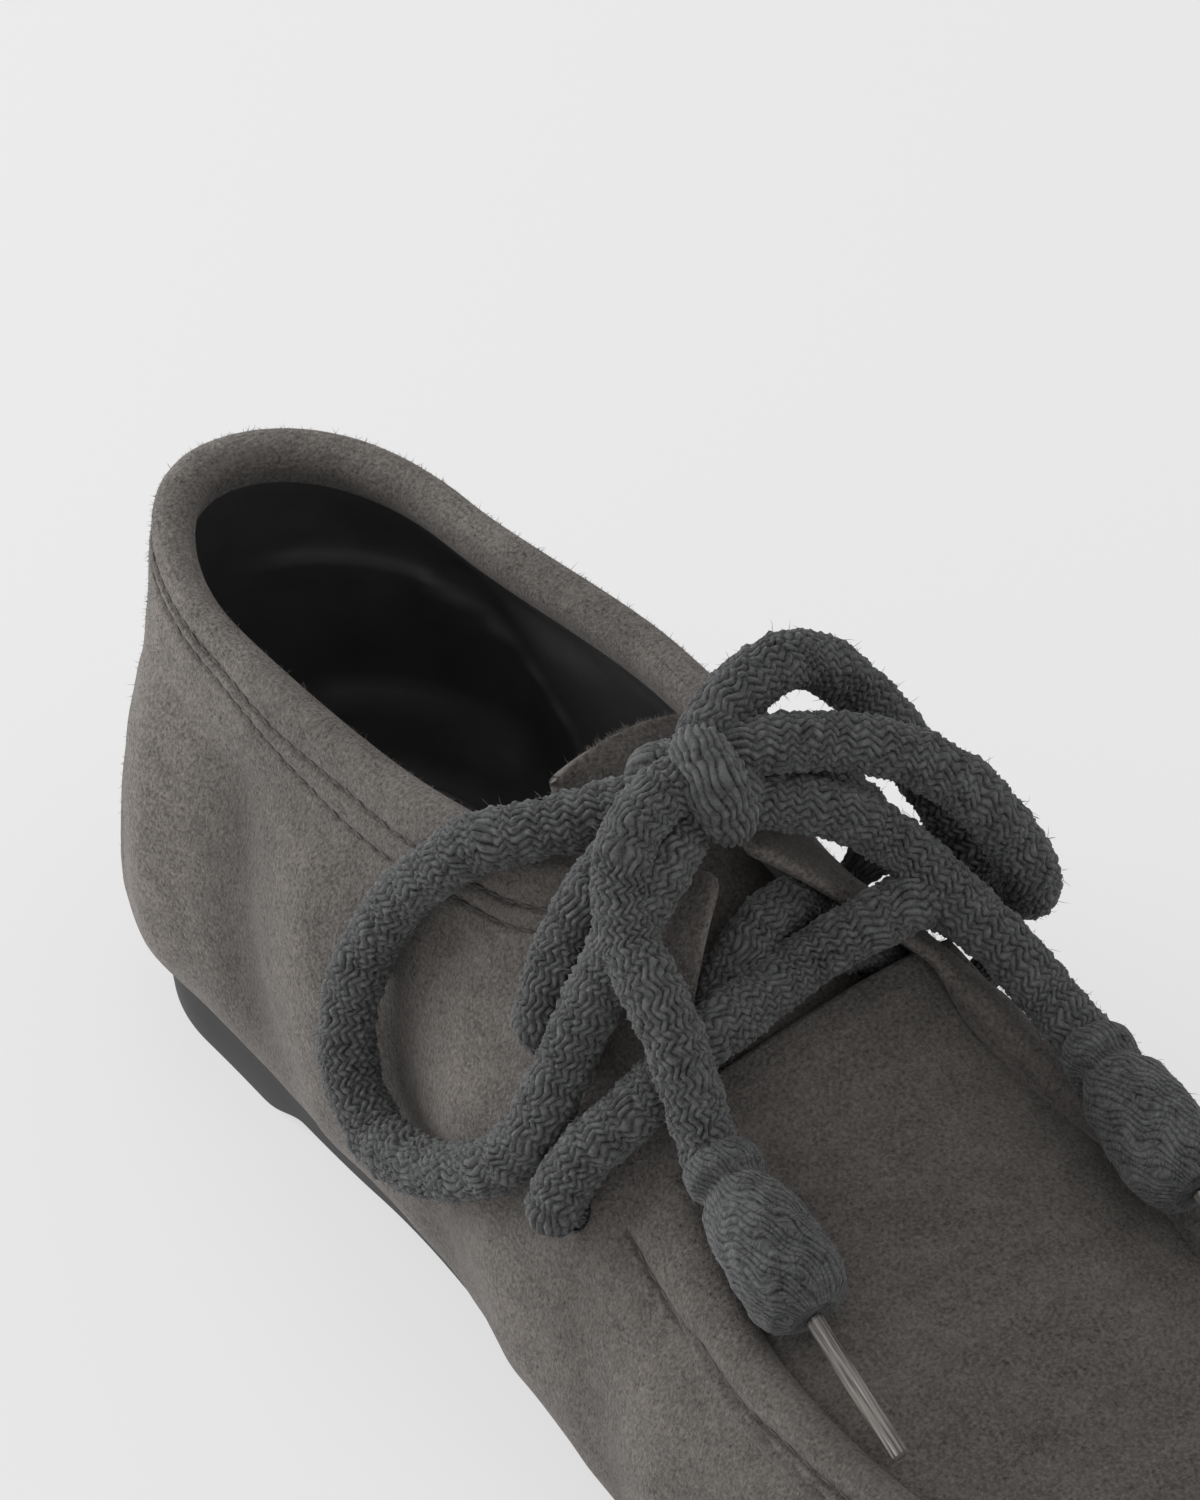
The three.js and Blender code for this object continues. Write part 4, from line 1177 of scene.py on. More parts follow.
def suede_group():
    """Suede nap: clouds and mottling from the way the nap lies, and fine light and dark fibre ends."""
    tree, given, out = group(
        "Suede nap",
        [
            ("Position", "NodeSocketVector", None),
            ("Colour", "NodeSocketColor", None),
            ("Mottling", "NodeSocketFloat", 1.0),
            ("Fibre", "NodeSocketFloat", 1.0),
        ],
        [("Colour", "NodeSocketColor"), ("Height", "NodeSocketFloat"), ("Nap", "NodeSocketFloat")],
    )
    position = given["Position"]
    clouds = noise(tree, position, 34, 3, 0.55)
    brushed = noise(tree, stretched(tree, position, (210, 120, 330)), 1.0, 4, 0.6)
    speckle = noise(tree, position, 1500, 3, 0.65)
    ends = noise(tree, stretched(tree, position, (2600, 1500, 2100)), 1.0, 2, 0.6)
    broad = sums(tree, "ADD", centred(tree, clouds, 0.6), centred(tree, brushed, 0.7))
    broad = sums(tree, "MULTIPLY", broad, given["Mottling"])
    fine = sums(tree, "ADD", centred(tree, speckle, 1.8), centred(tree, ends, 1.2))
    fine = sums(tree, "MULTIPLY", fine, given["Fibre"])
    factor = sums(tree, "MAXIMUM", sums(tree, "ADD", 1.0, sums(tree, "ADD", broad, fine)), 0.15)
    tree.links.new(vary(tree, given["Colour"], factor), out["Colour"])
    tree.links.new(sums(tree, "ADD", fine, sums(tree, "MULTIPLY", brushed, 0.5)), out["Height"])
    tree.links.new(brushed, out["Nap"])
    return tree


def line_mask(tree, name, width):
    """1 on a sewn line and 0 a width away from it, from the distance that an attribute holds."""
    away = sums(tree, "DIVIDE", sums(tree, "ABSOLUTE", attribute(tree, name)), width)
    return sums(tree, "SUBTRACT", 1.0, away, clamp=True)


def suede_material(name, colour, nap):
    """Brushed suede: matt, with a pale sheen at grazing angles, with painted shade in its sewn lines and
    the painted shade and painted light that its tone mark holds.
    """
    made, tree, shader = material(
        name, roughness=0.95, sheen=0.22, sheen_roughness=0.45, sheen_tint=(0.75, 0.72, 0.70, 1),
        specular=0.12,
    )
    sockets = {"Position": own_place(tree), "Colour": colour_of(colour)}
    grain = add(tree, "ShaderNodeGroup", sockets, node_tree=nap)
    first = line_mask(tree, "first_line", 0.0006)
    rows = sums(tree, "MAXIMUM", first, line_mask(tree, "second_line", 0.0006))
    sewn = sums(tree, "MAXIMUM", line_mask(tree, "seam_line", 0.0009), rows)
    # Painted shade: the sewn lines are up to 42 percent darker, and the tone mark adds painted shade and
    # painted light
    dark = scaled(tree, sewn, -0.42, 1.0)
    tone = sums(tree, "MULTIPLY", dark, sums(tree, "ADD", 1.0, attribute(tree, "tone")))
    link(tree, shader, "Base Color", vary(tree, grain.outputs["Colour"], tone))
    bumped(tree, shader, scaled(tree, sewn, -1.2, grain.outputs["Height"]), 0.7, 0.00026)
    return made


def lining_material(name, colour):
    """Smooth black lining leather with a fine grain and a soft gloss, and painted highlights where its
    gleam mark says so.
    """
    made, tree, shader = material(name, specular=0.35)
    place = own_place(tree)
    clouds = noise(tree, place, 60, 3, 0.6)
    pores = noise(tree, place, 1400, 2, 0.5)
    # Painted highlight: the gleam mark makes the lining's folds and the foot bed paler
    paler = sums(tree, "MULTIPLY", attribute(tree, "gleam"), 2.0)
    bright = sums(tree, "ADD", sums(tree, "ADD", clouds, 0.5), paler)
    link(tree, shader, "Base Color", vary(tree, colour, bright))
    link(tree, shader, "Roughness", scaled(tree, clouds, 0.3, 0.38))
    bumped(tree, shader, pores, 0.25, 0.00015)
    return made


def rubber_material(name, colour):
    """Matt moulded rubber, paler in patches near the floor."""
    made, tree, shader = material(name, specular=0.35)
    place = own_place(tree)
    clouds = noise(tree, place, 45, 3, 0.6)
    skin = noise(tree, place, 1700, 2, 0.5)
    height = add(tree, "ShaderNodeSeparateXYZ", {0: place}).outputs["Z"]
    low = sums(tree, "SUBTRACT", 1.0, sums(tree, "DIVIDE", height, 0.006), clamp=True)
    low_pale_patches = sums(tree, "MULTIPLY", sums(tree, "MULTIPLY", low, clouds), 0.25)
    plain = vary(tree, colour, scaled(tree, clouds, 0.5, 0.75))
    link(tree, shader, "Base Color", mixed(tree, low_pale_patches, plain, (0.16, 0.15, 0.14, 1)))
    link(tree, shader, "Roughness", scaled(tree, clouds, 0.25, 0.55))
    bumped(tree, shader, skin, 0.3, 0.00015)
    return made


def wool_group():
    """Knitted wool: each line of yarn has painted light on its back and painted shade in the gap beside it
    and where it dips, and is spun from fine plies that run along it."""
    tree, given, out = group(
        "Knitted wool",
        [
            ("Lines and turns", "NodeSocketVector", None),
            ("Position", "NodeSocketVector", None),
            ("Colour", "NodeSocketColor", None),
        ],
        [("Colour", "NodeSocketColor"), ("Height", "NodeSocketFloat")],
    )
    apart = add(tree, "ShaderNodeSeparateXYZ", {0: given["Lines and turns"]}).outputs
    rib = sums(tree, "MINIMUM", sums(tree, "MULTIPLY", zigzagged(tree, apart["X"]), RIB_WIDTH), 1.0)
    line = sums(tree, "FLOOR", apart["X"])
    early = sums(tree, "SINE", sums(tree, "MULTIPLY", line, STAGGER_TURN))
    turn = zigzagged(tree, scaled(tree, early, STAGGER, apart["Y"]))
    back = sums(tree, "SQRT", sums(tree, "SUBTRACT", 1.0, sums(tree, "MULTIPLY", rib, rib)))
    dip = sums(tree, "POWER", sums(tree, "SINE", sums(tree, "MULTIPLY", turn, math.pi)), DIP_POWER)
    strand = sums(tree, "MULTIPLY", back, scaled(tree, dip, 0.75, 0.25))
    plies = add(tree, "ShaderNodeCombineXYZ", {
        "X": sums(tree, "MULTIPLY", apart["X"], 5.0),
        "Y": sums(tree, "MULTIPLY", apart["Y"], 2.4),
        "Z": line,
    }).outputs[0]
    ply = noise(tree, plies, 1.0, 2, 0.6)
    hair = noise(tree, given["Position"], 1700, 3, 0.7)
    lumps = noise(tree, given["Position"], 420, 2, 0.5)
    clouds = noise(tree, given["Position"], 70, 2, 0.5)
    # Painted light and shade: paler on the yarn's back, darker in its gaps and where it dips
    bright = scaled(tree, strand, 0.62, 0.55)
    for part, weight in ((ply, 0.9), (hair, 1.6), (lumps, 1.1), (clouds, 0.4)):
        bright = sums(tree, "ADD", bright, centred(tree, part, weight))
    bright = sums(tree, "MAXIMUM", bright, 0.08)
    tree.links.new(vary(tree, given["Colour"], bright), out["Colour"])
    thread = sums(tree, "ADD", sums(tree, "MULTIPLY", ply, 0.8), sums(tree, "MULTIPLY", hair, 0.6))
    tree.links.new(sums(tree, "ADD", strand, thread), out["Height"])
    return tree


def wool_material(name, colour, knit):
    """Dark slate knitted wool, matt with a soft sheen."""
    made, tree, shader = material(
        name, roughness=0.97, sheen=0.25, sheen_roughness=0.4, sheen_tint=(0.74, 0.75, 0.76, 1),
        specular=0.1,
    )
    stitches = add(tree, "ShaderNodeUVMap", uv_map="Surface").outputs["UV"]
    sockets = {"Lines and turns": stitches, "Position": own_place(tree), "Colour": colour_of(colour)}
    wool = add(tree, "ShaderNodeGroup", sockets, node_tree=knit).outputs
    link(tree, shader, "Base Color", wool["Colour"])
    bumped(tree, shader, wool["Height"], 0.45, 0.00025)
    return made


def film_material(name):
    """Clear film rolled tight round the lace's end: brownish, glossy, with painted highlights along its
    creases.
    """
    made, tree, shader = material(name, coat=0.9, coat_roughness=0.12, specular=0.5)
    across = add(tree, "ShaderNodeUVMap", uv_map="Surface").outputs["UV"]
    streak = noise(tree, stretched(tree, across, (16, 1.4, 1)), 1.0, 3, 0.6)
    fine = noise(tree, stretched(tree, across, (60, 5, 1)), 1.0, 2, 0.5)
    # Painted highlights: pale streaks along the film
    bright = sums(tree, "MULTIPLY_ADD", streak, 3.4, -1.35, clamp=True)
    link(tree, shader, "Base Color", mixed(tree, bright, (0.035, 0.030, 0.027, 1), (0.40, 0.37, 0.34, 1)))
    link(tree, shader, "Roughness", scaled(tree, fine, 0.3, 0.12))
    bumped(tree, shader, scaled(tree, fine, 0.3, streak), 0.8, 0.0005)
    return made


def thread_material(name, colour):
    """Sewing thread in the suede's own tone."""
    made, tree, shader = material(name, roughness=0.7, specular=0.25)
    twist = noise(tree, own_place(tree), 2500, 2, 0.5)
    link(tree, shader, "Base Color", vary(tree, colour, scaled(tree, twist, 0.8, 0.6)))
    return made


def floor_material(name, colour):
    """Plain pale studio floor, lit from below as a light table is."""
    made, _, _ = material(
        name, roughness=0.9, specular=0.1, colour=colour_of(colour), glow=0.62, glow_colour=(1, 1, 1, 1),
    )
    return made


FINISHES = {}


def finish(name):
    """A material of the shoe by its name, made when it is first asked for."""
    if name not in FINISHES:
        upper = bpy.context.scene.moccasin_upper
        lace = bpy.context.scene.moccasin_lace
        sole = bpy.context.scene.moccasin_sole
        makers = {
            "nap": suede_group,
            "knit": wool_group,
            "suede": lambda: suede_material("suede", upper.suede, finish("nap")),
            "lining": lambda: lining_material("lining_leather", upper.lining),
            "rubber": lambda: rubber_material("sole_rubber", sole.rubber),
            "wool": lambda: wool_material("lace_wool", lace.wool, finish("knit")),
            "film": lambda: film_material("tip_film"),
            "thread": lambda: thread_material("seam_thread", [0.75 * value for value in upper.suede]),
        }
        FINISHES[name] = makers[name]()
    return FINISHES[name]


# Soft troughs and ridges of the wall: side, the two ends of each as along and height,
# its half width, and how deep it is, with ridges below zero
CREASES = (
    (-1, (0.046, 0.064), (0.060, 0.028), 0.0075, 0.0024),
    (-1, (0.026, 0.064), (0.036, 0.026), 0.0070, -0.0022),
    (-1, (0.072, 0.060), (0.084, 0.026), 0.0085, -0.0022),
    (-1, (0.012, 0.058), (0.018, 0.030), 0.0050, 0.0012),
    (-1, (0.092, 0.050), (0.112, 0.020), 0.0075, 0.0018),
    (-1, (0.118, 0.048), (0.138, 0.022), 0.0075, -0.0015),
    (-1, (0.150, 0.040), (0.166, 0.016), 0.0065, 0.0013),
    (-1, (0.172, 0.034), (0.184, 0.012), 0.0065, -0.0009),
    (1, (0.048, 0.064), (0.064, 0.022), 0.0080, 0.0014),
    (1, (0.030, 0.060), (0.038, 0.026), 0.0070, -0.0010),
    (1, (0.078, 0.058), (0.092, 0.024), 0.0090, -0.0010),
    (1, (0.102, 0.050), (0.120, 0.018), 0.0080, 0.0010),
    (1, (0.150, 0.042), (0.164, 0.014), 0.0075, 0.0007),
)

# Folds of the lining that catch a little light as painted highlights, in the same form
LINING_FOLDS = (
    (1, (0.004, 0.0570), (0.019, 0.0555), 0.0016, 0.0004),
    (1, (0.020, 0.0545), (0.030, 0.0505), 0.0016, 0.0004),
    (1, (0.031, 0.0500), (0.052, 0.0400), 0.0016, 0.0004),
    (1, (0.006, 0.0270), (0.032, 0.0250), 0.0028, 0.0004),
    (-1, (0.010, 0.0500), (0.040, 0.0420), 0.0030, 0.0004),
)

FOOT_TURNS = np.linspace(0, 1, 11, endpoint=False)
WALL_SHARES = np.concatenate([np.linspace(0, 0.5, 22, endpoint=False), np.linspace(0.5, 1, 50)])


def line_bells(table, side, points):
    """Sum of a table's lines at points of both sides: a bell curve of the distance to each line."""
    place = points[..., [0, 2]]
    total = np.zeros(points.shape[:-1])
    side = np.broadcast_to(side[0], total.shape)
    for crease_side, start, end, width, depth in table:
        first = np.array(start)
        reach = np.array(end) - first
        t = np.clip(((place - first) @ reach) / (reach @ reach), 0, 1)
        away = np.linalg.norm(place - first - t[..., None] * reach, axis=-1)
        total += np.where(side == crease_side, depth * bell(away, width), 0)
    return total


def crest_distance(outer):
    """Distance from the crest down each column of the outer surface, whose last row is the crest."""
    steps = np.linalg.norm(np.diff(outer, axis=0), axis=-1)
    down = np.cumsum(steps[::-1], axis=0)[::-1]
    return np.concatenate([down, np.zeros((1, outer.shape[1]))])


def seam_distance(side, along):
    """Distance from the raised seam's crest down to its sewn groove."""
    place = (along - THROAT_ALONG) / (LENGTH - TOE_WALL - THROAT_ALONG)
    return by_side(side, read(SEAM_LINE, "lateral", place), read(SEAM_LINE, "medial", place))


def collar_relief(settings, down, first, second, place):
    """Padding above the first row of stitches, two sewn grooves, and a soft ridge between them."""
    padding = np.sin(np.pi * np.clip(down / read(COLLAR_LINES, "first", place), 0, 1)) ** 2
    grooves = bell(first, GROOVE_WIDTH) + bell(second, GROOVE_WIDTH)
    between = np.sin(np.pi * np.clip(first / (first - second), 0, 1))
    return settings.pad * padding - settings.groove * grooves + ROW_SWELL * between


def seam_relief(settings, edge, down, band):
    """A roll between the crest and the sewn groove, the groove, and the suede gathered below it."""
    seam = down - band
    gather = np.sin(2 * np.pi * travelled(edge) / GATHER_LENGTH + 1.3 * waves(edge, 0.03, 5))
    gathered = GATHER_HEIGHT * bell(seam - GATHER_DOWN, GATHER_WIDTH) * gather[None]
    inside = np.clip(down / band, 0, 1)
    roll = settings.seam_roll * ROLL_FLATTENING * inside**1.5 * np.sqrt(1 - inside)
    return gathered + roll - settings.seam_groove * bell(seam, SEAM_GROOVE_WIDTH)


def suede_painted_light_and_edge_tone(along, down, crease, on_seam):
    """How much paler or darker the suede is painted: painted shade in the troughs and along the raised
    seam's crest, painted light on the ridges and on the heel, and a pale cut edge on the facings."""
    # Painted shade in the troughs and painted light on the ridges
    troughs = TROUGH_SHADE * np.clip(crease / CREASE_FULL, -0.45, 1) * ease(down, *CALM_BAND)
    facing = ease(along, TAB_ALONG - 0.001, TAB_ALONG + 0.001)
    facing = facing * (1 - ease(along, THROAT_ALONG, THROAT_ALONG + 0.004))
    # A pale cut edge on the facings, and painted shade along the raised seam's crest
    edges = FACING_TONE * bell(down, 0.0012) * facing - RIDGE_SHADE * bell(down, 0.0022) * on_seam
    # Painted light on the heel, with the troughs' painted shade and the edges' tone
    return HEEL_PAINTED_LIGHT * (1 - ease(along, *HEEL_PAINTED_LIGHT_FADE)) - troughs + edges


def upper_shell(settings):
    """The wall as one closed shell. Outside, the rings are moved out along their normals by a swell that
    grows to the edge's radius, a half circle turns over the edge, and the inside comes back down at the
    wall's thickness to the lasting margin. Grooves, padding and creases move the outside in or out."""
    last = Last(settings.grid, FOOT_TURNS, WALL_SHARES)
    swell = ease(last.share, 0.7, 1)[:, None]
    outer = last.rings + last.normals * (last.radius * swell)[..., None]
    cap = [
        last.edge + (last.top * math.cos(a) + last.over * math.sin(a)) * last.radius[:, None]
        for a in np.radians(np.linspace(0, 180, 13))[1:-1]
    ]
    half_cap = len(cap) // 2 + 1
    outside = np.concatenate([outer, cap[:half_cap]])
    normals = np.concatenate([last.normals, [unit(c - last.edge) for c in cap[:half_cap]]])
    down = crest_distance(outside)
    along = last.along[None] + 0 * down
    side = last.side[None] + 0 * down
    place = np.clip(along / TAB_ALONG, 0, 1)
    on_collar = 1 - ease(along, TAB_ALONG - COLLAR_FADE[0], TAB_ALONG - COLLAR_FADE[1])
    on_seam = ease(along, THROAT_ALONG + SEAM_FADE[0], THROAT_ALONG + SEAM_FADE[1])
    first = down - read(COLLAR_LINES, "first", place)
    second = down - read(COLLAR_LINES, "second", place)
    band = seam_distance(side, along)
    crease = line_bells(CREASES, side, outside)
    bend = settings.crease * (SOFT_WAVE * waves(outside, 0.040, 11) - crease) * ease(down, *CALM_BAND)
    move = collar_relief(settings, down, first, second, place) * on_collar + bend
    move += seam_relief(settings, last.edge, down, band) * on_seam
    move += FINE_WAVE * waves(outside, 0.011, 12) * ease(down, 0.004, 0.012)
    foot = np.concatenate([ease(FOOT_TURNS, 0.1, 0.9), np.ones(len(outside) - len(FOOT_TURNS))])[:, None]
    outside = outside + normals * (move * foot)[..., None]

    fold = line_bells(LINING_FOLDS, side, last.rings)
    within = (bend * foot)[: len(last.rings)] - fold
    inner = last.rings + last.normals * (within - WALL - (last.radius - WALL) * swell)[..., None]
    inner[0] = last.rings[0] + np.array([0, 0, WALL])
    lip = last.rings[0] - last.outward * MARGIN
    lip[:, 2] = feather_height(lip[:, 0])
    fine_from = len(inner) - 24
    keep = np.concatenate([np.arange(0, fine_from, 3), np.arange(fine_from, len(inner))])
    inside = inner[keep][::-1]
    rows = np.concatenate([lip[None], outside, cap[half_cap:], inside, lip[None] + np.array([0, 0, WALL])])

    step = np.linalg.norm(np.diff(rows, axis=0), axis=-1)
    inward = np.concatenate([np.zeros((1, rows.shape[1])), np.cumsum(step, axis=0)])
    inward = inward - inward[len(outside)]
    start_row = int(np.argmax((inward > settings.lining_start).mean(axis=1) > 0.5))
    far = np.full(rows.shape[:2], 1.0)
    marks = {name: far.copy() for name in ("first_line", "second_line", "seam_line")}
    marks["tone"] = 0 * far
    marks["gleam"] = 0 * far
    shown = slice(1, 1 + len(outside))
    marks["first_line"][shown] = np.where(on_collar > 0.5, first, 1.0)
    marks["second_line"][shown] = np.where(on_collar > 0.5, second, 1.0)
    marks["seam_line"][shown] = np.where(on_seam > 0.3, down - band, 1.0)
    # The tone mark holds the suede's painted shade and painted light
    marks["tone"][shown] = suede_painted_light_and_edge_tone(along, down, crease, on_seam)
    # The gleam mark holds painted highlights on the lining's folds
    marks["gleam"][-1 - len(inside): -1] = fold[keep][::-1] / FOLD_DEPTH
    surface = Surface()
    surface.grid(
        placed(rows), length_uv(rows, round_rows=True, round_columns=True), round_rows=True,
        round_columns=True, kind=(np.arange(len(rows)) >= start_row).astype(int),
        **{name: values.ravel() for name, values in marks.items()},
    )
    return surface, {"outside": outside, "normals": normals, "down": down, "last": last}


def punch(piece, cutters):
    """Cuts the eyelets with short round rods through the wall."""
    for start, end, radius in cutters:
        axis = Vector(end - start)
        bpy.ops.mesh.primitive_cylinder_add(vertices=48, radius=radius, depth=axis.length)
        rod = bpy.context.object
        rod.data.transform(axis.to_track_quat("Z", "Y").to_matrix().to_4x4())
        rod.data.transform(Matrix.Translation(Vector((start + end) / 2)))
        cut = piece.modifiers.new("eyelet", "BOOLEAN")
        cut.operation = "DIFFERENCE"
        cut.solver = "EXACT"
        cut.object = rod
        bpy.context.view_layer.objects.active = piece
        bpy.ops.object.modifier_apply(modifier=cut.name)
        bpy.data.objects.remove(rod)


class MoccasinOperator:
    """Shared by the operators: each builds its pieces at once."""

    bl_options = {"REGISTER", "UNDO"}

    def execute(self, context):
        self.build(context.scene)
        return {"FINISHED"}


class MOCCASIN_OT_stage(MoccasinOperator, bpy.types.Operator):
    """Sets the floor, the soft lights and the camera"""

    bl_idname = "moccasin.stage"
    bl_label = "Stage"

    def build(self, scene):
        settings = scene.moccasin_stage
        azimuth, elevation = settings.azimuth, settings.elevation
        level = Vector((math.cos(azimuth), math.sin(azimuth), 0))
        plan = Vector((math.sin(azimuth), -math.cos(azimuth), 0))
        back = plan * math.cos(elevation) + Vector((0, 0, math.sin(elevation)))
        upright = back.cross(level)
        right = level * math.cos(settings.roll) + upright * math.sin(settings.roll)
        up = upright * math.cos(settings.roll) - level * math.sin(settings.roll)
        target = Vector(CAMERA_TARGET) + right * CAMERA_SHIFT[0] + up * CAMERA_SHIFT[1]
        data = bpy.data.cameras.new("camera")
        data.sensor_fit = "VERTICAL"
        data.sensor_height = FILM_HEIGHT
        data.lens = settings.focal * data.sensor_height
        data.clip_start = 0.05
        data.clip_end = 20
        camera = bpy.data.objects.new("camera", data)
        turn = Matrix((right, up, back)).transposed().to_4x4()
        camera.matrix_world = Matrix.Translation(target + back * settings.distance) @ turn
        scene.collection.objects.link(camera)
        scene.camera = camera
        scene.view_settings.view_transform = "Standard"

        world = bpy.data.worlds.new("studio")
        world.use_nodes = True
        world.node_tree.nodes["Background"].inputs["Color"].default_value = (1, 1, 1, 1)
        world.node_tree.nodes["Background"].inputs["Strength"].default_value = settings.sky
        scene.world = world

        surface = Surface()
        steps = np.linspace(-FLOOR_REACH, FLOOR_REACH, 9)
        x, y = np.meshgrid(steps, steps)
        points = np.stack([x, y, 0 * x], -1)
        surface.grid(points, points[..., :2])
        floor = surface.build("floor", floor_material("studio_floor", settings.floor))

        for name, (place, aim, size), power in (
            ("key_light", KEY_LIGHT, settings.key),
            ("top_light", TOP_LIGHT, settings.top),
        ):
            light = bpy.data.lights.new(name, "AREA")
            light.shape = "DISK"
            light.size = size
            light.energy = power
            lamp = bpy.data.objects.new(name, light)
            turn = (Vector(aim) - Vector(place)).to_track_quat("-Z", "Y").to_matrix().to_4x4()
            lamp.matrix_world = Matrix.Translation(place) @ turn
            scene.collection.objects.link(lamp)


class MOCCASIN_OT_lace(MoccasinOperator, bpy.types.Operator):
    """Knits the lace through the eyelets, over the throat and into its bow"""

    bl_idname = "moccasin.lace"
    bl_label = "Lace"

    def cord(self, name, nodes, route, radius, seed, **looks):
        surface = Surface()
        radii = np.full(len(route), radius) if np.isscalar(radius) else radius
        path = knit_tube(surface, self.knit, placed(route), radii, seed, **looks)
        piece = surface.build(name, finish("wool"))
        return finish_piece(piece, "lace_wool", *nodes), path

    def declare(self, piece, path, far_end="object", with_pieces=()):
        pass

    def build(self, scene):
        self.knit = Knit(scene.moccasin_lace)
        inside = -(WALL + CLEARANCE + PRESSED_RADIUS)
        above = LACE_RADIUS + LACE_SEAT
        knot_above = LACE_RADIUS + 2 * LACE_SEAT + CLEARANCE
        mirror = np.array([1, -1, 1])
        shown = np.array([
            (0.1418, -0.0288, 0.0525), (0.1404, -0.0250, 0.0566), (0.1396, -0.0205, 0.0618),
            (0.1394, -0.0150, 0.0662), *SHOWN_LEG_ROUTE, (0.1338, 0.0125, 0.0725), (0.132, 0.018, 0.066),
        ])
        hidden = np.array(LEG_ROUTE) * mirror
        hidden[4:9, 2] -= (0.0015, 0.0032, 0.0040, 0.0040, 0.0025)

        def inward(name, start):
            """Points through an eyelet, from start over it to the inside of the wall."""
            return [beyond(name, distance) for distance in (start, 0.5 * WALL, inside * 0.6, inside)]

        route = [
            *inward("lateral_upper", above * 0.55), *hidden[::-1], *inward("medial_lower", above)[::-1],
            *np.array(BAR_ROUTE)[::-1], *inward("lateral_lower", above * 0.8), *shown,
            *inward("medial_upper", above * 0.55)[::-1],
        ]
        neck = [PRESSED_RADIUS] * 3
        leg = [PRESSED_RADIUS] * len(hidden)
        shown_leg = [PRESSED_RADIUS] * 4 + [0.0034] + [SHOWN_RADIUS] * 3 + [0.0036, 0.0030, PRESSED_RADIUS]
        bar = [LACE_RADIUS] * len(BAR_ROUTE)
        radii = [
            END_RADIUS, *neck, *leg, *neck, MOUTH_RADIUS, *bar, BAR_END_RADIUS, *neck, *shown_leg, *neck,
            END_RADIUS,
        ]
        self.cord("lace_crossing", ["lace_bars"], np.array(route), np.array(radii), 3)

        arch = np.array([
            beyond("lateral_upper", knot_above * 0.5), beyond("lateral_upper", knot_above), *ARCH_ROUTE,
            beyond("medial_upper", knot_above), beyond("medial_upper", knot_above * 0.5),
        ])
        arch_radii = np.full(len(arch), LACE_RADIUS)
        arch_radii[[0, -1]] = 0.0031
        arch_radii[[1, -2]] = 0.0038
        knot_arch, arch_path = self.cord("knot_arch", ["lace_knot"], arch, arch_radii, 5)
        wrap_radii = WRAP_RADIUS * np.array([0.8, 0.95, 1, 0.95, 0.8])
        wrap = np.array(WRAP_ROUTE)
        knot_wrap, _ = self.cord("knot_wrap", ["lace_knot"], wrap, wrap_radii, 6, slant=0.35)
        knot_core, _ = self.cord("knot_core", ["lace_knot"], np.array(CORE_ROUTE), CORE_RADIUS, 7)
        self.declare(knot_arch, arch_path, with_pieces=[knot_wrap, knot_core])

        for name, node, loop, seed, frays in (
            ("loop_lateral_cord", "lace_loop_lateral", LATERAL_LOOP_ROUTE, 8, ((0.075, 40), (0.9, 14))),
            ("loop_medial_cord", "lace_loop_medial", MEDIAL_LOOP_ROUTE, 9, ((0.3, 10),)),
        ):
            piece, path = self.cord(name, [node], np.array(loop), LACE_RADIUS, seed, frays=frays)
            self.declare(piece, path)

        for side, end, span, tip, seed in (
            ("lateral", LATERAL_END_ROUTE, LATERAL_STOPPER, LATERAL_AGLET, 10),
            ("medial", MEDIAL_END_ROUTE, MEDIAL_STOPPER, MEDIAL_AGLET, 20),
        ):
            radii = np.full(len(end), LACE_RADIUS)
            piece, path = self.cord(f"end_{side}_cord", [f"lace_end_{side}"], np.array(end), radii, seed)
            stopper = self.stopper(f"stopper_{side}", f"end_knot_{side}", placed(span), seed + 1)
            film = self.tip(f"tip_{side}", f"aglet_{side}", placed(tip), seed + 2)
            self.declare(piece, path, far_end="knot", with_pieces=[stopper, film])

    def stopper(self, name, node, span, seed):
        """An overhand knot pulled tight: its radius comes from a table, its fold runs aslant round it, and
        its lines of yarn wind round it."""
        knit = self.knit
        start, end = span
        reach = np.linalg.norm(end - start)
        rows = round(reach / knit.spacing)
        place = np.linspace(0, 1, rows)[:, None]
        path = start + (end - start) * place
        _, across, other = carried_frames(path)
        around = knit.around + STOPPER_POINTS
        yarns = knit.lines + STOPPER_LINES
        angle = full_turn(around)[None, :] + 0 * place
        spokes = spokes_at(across, other, angle)
        aslant = np.clip(place + 0.07 * np.cos(angle - 0.6) * np.sin(np.pi * place), 0, 1)
        radius = read(STOPPER, "radius", aslant) * STOPPER_RADIUS
        body = path[:, None] + spokes * STOPPER_RADIUS
        radius = radius * (1 + 0.045 * waves(body, 0.010, seed) + 0.03 * waves(body, 0.0045, seed + 5))
        wound = STOPPER_WINDING * place + 0.7 * waves(body, 0.006, seed + 1)
        lines = angle / (2 * np.pi) * yarns + wound
        turns = place * reach / knit.wave + 0.9 * waves(body, 0.004, seed + 2)
        skin = radius + (knit_height(lines, turns) - KNIT_MIDDLE) * knit.relief * STOPPER_RELIEF
        grid = path[:, None] + spokes * skin[..., None]
        surface = Surface()
        surface.tube(grid, knit_uv(lines, turns, yarns))
        rng = np.random.default_rng(seed)
        count = int(STOPPER_FUZZ * knit.fuzz * reach * 2 * np.pi * STOPPER_RADIUS)
        row = rng.integers(int(rows * 0.05), int(rows * 0.95), count)
        column = rng.integers(0, around, count)
        out = spokes[row, column]
        wild = unit(rng.normal(size=(count, 3)))
        way = unit(end - start)
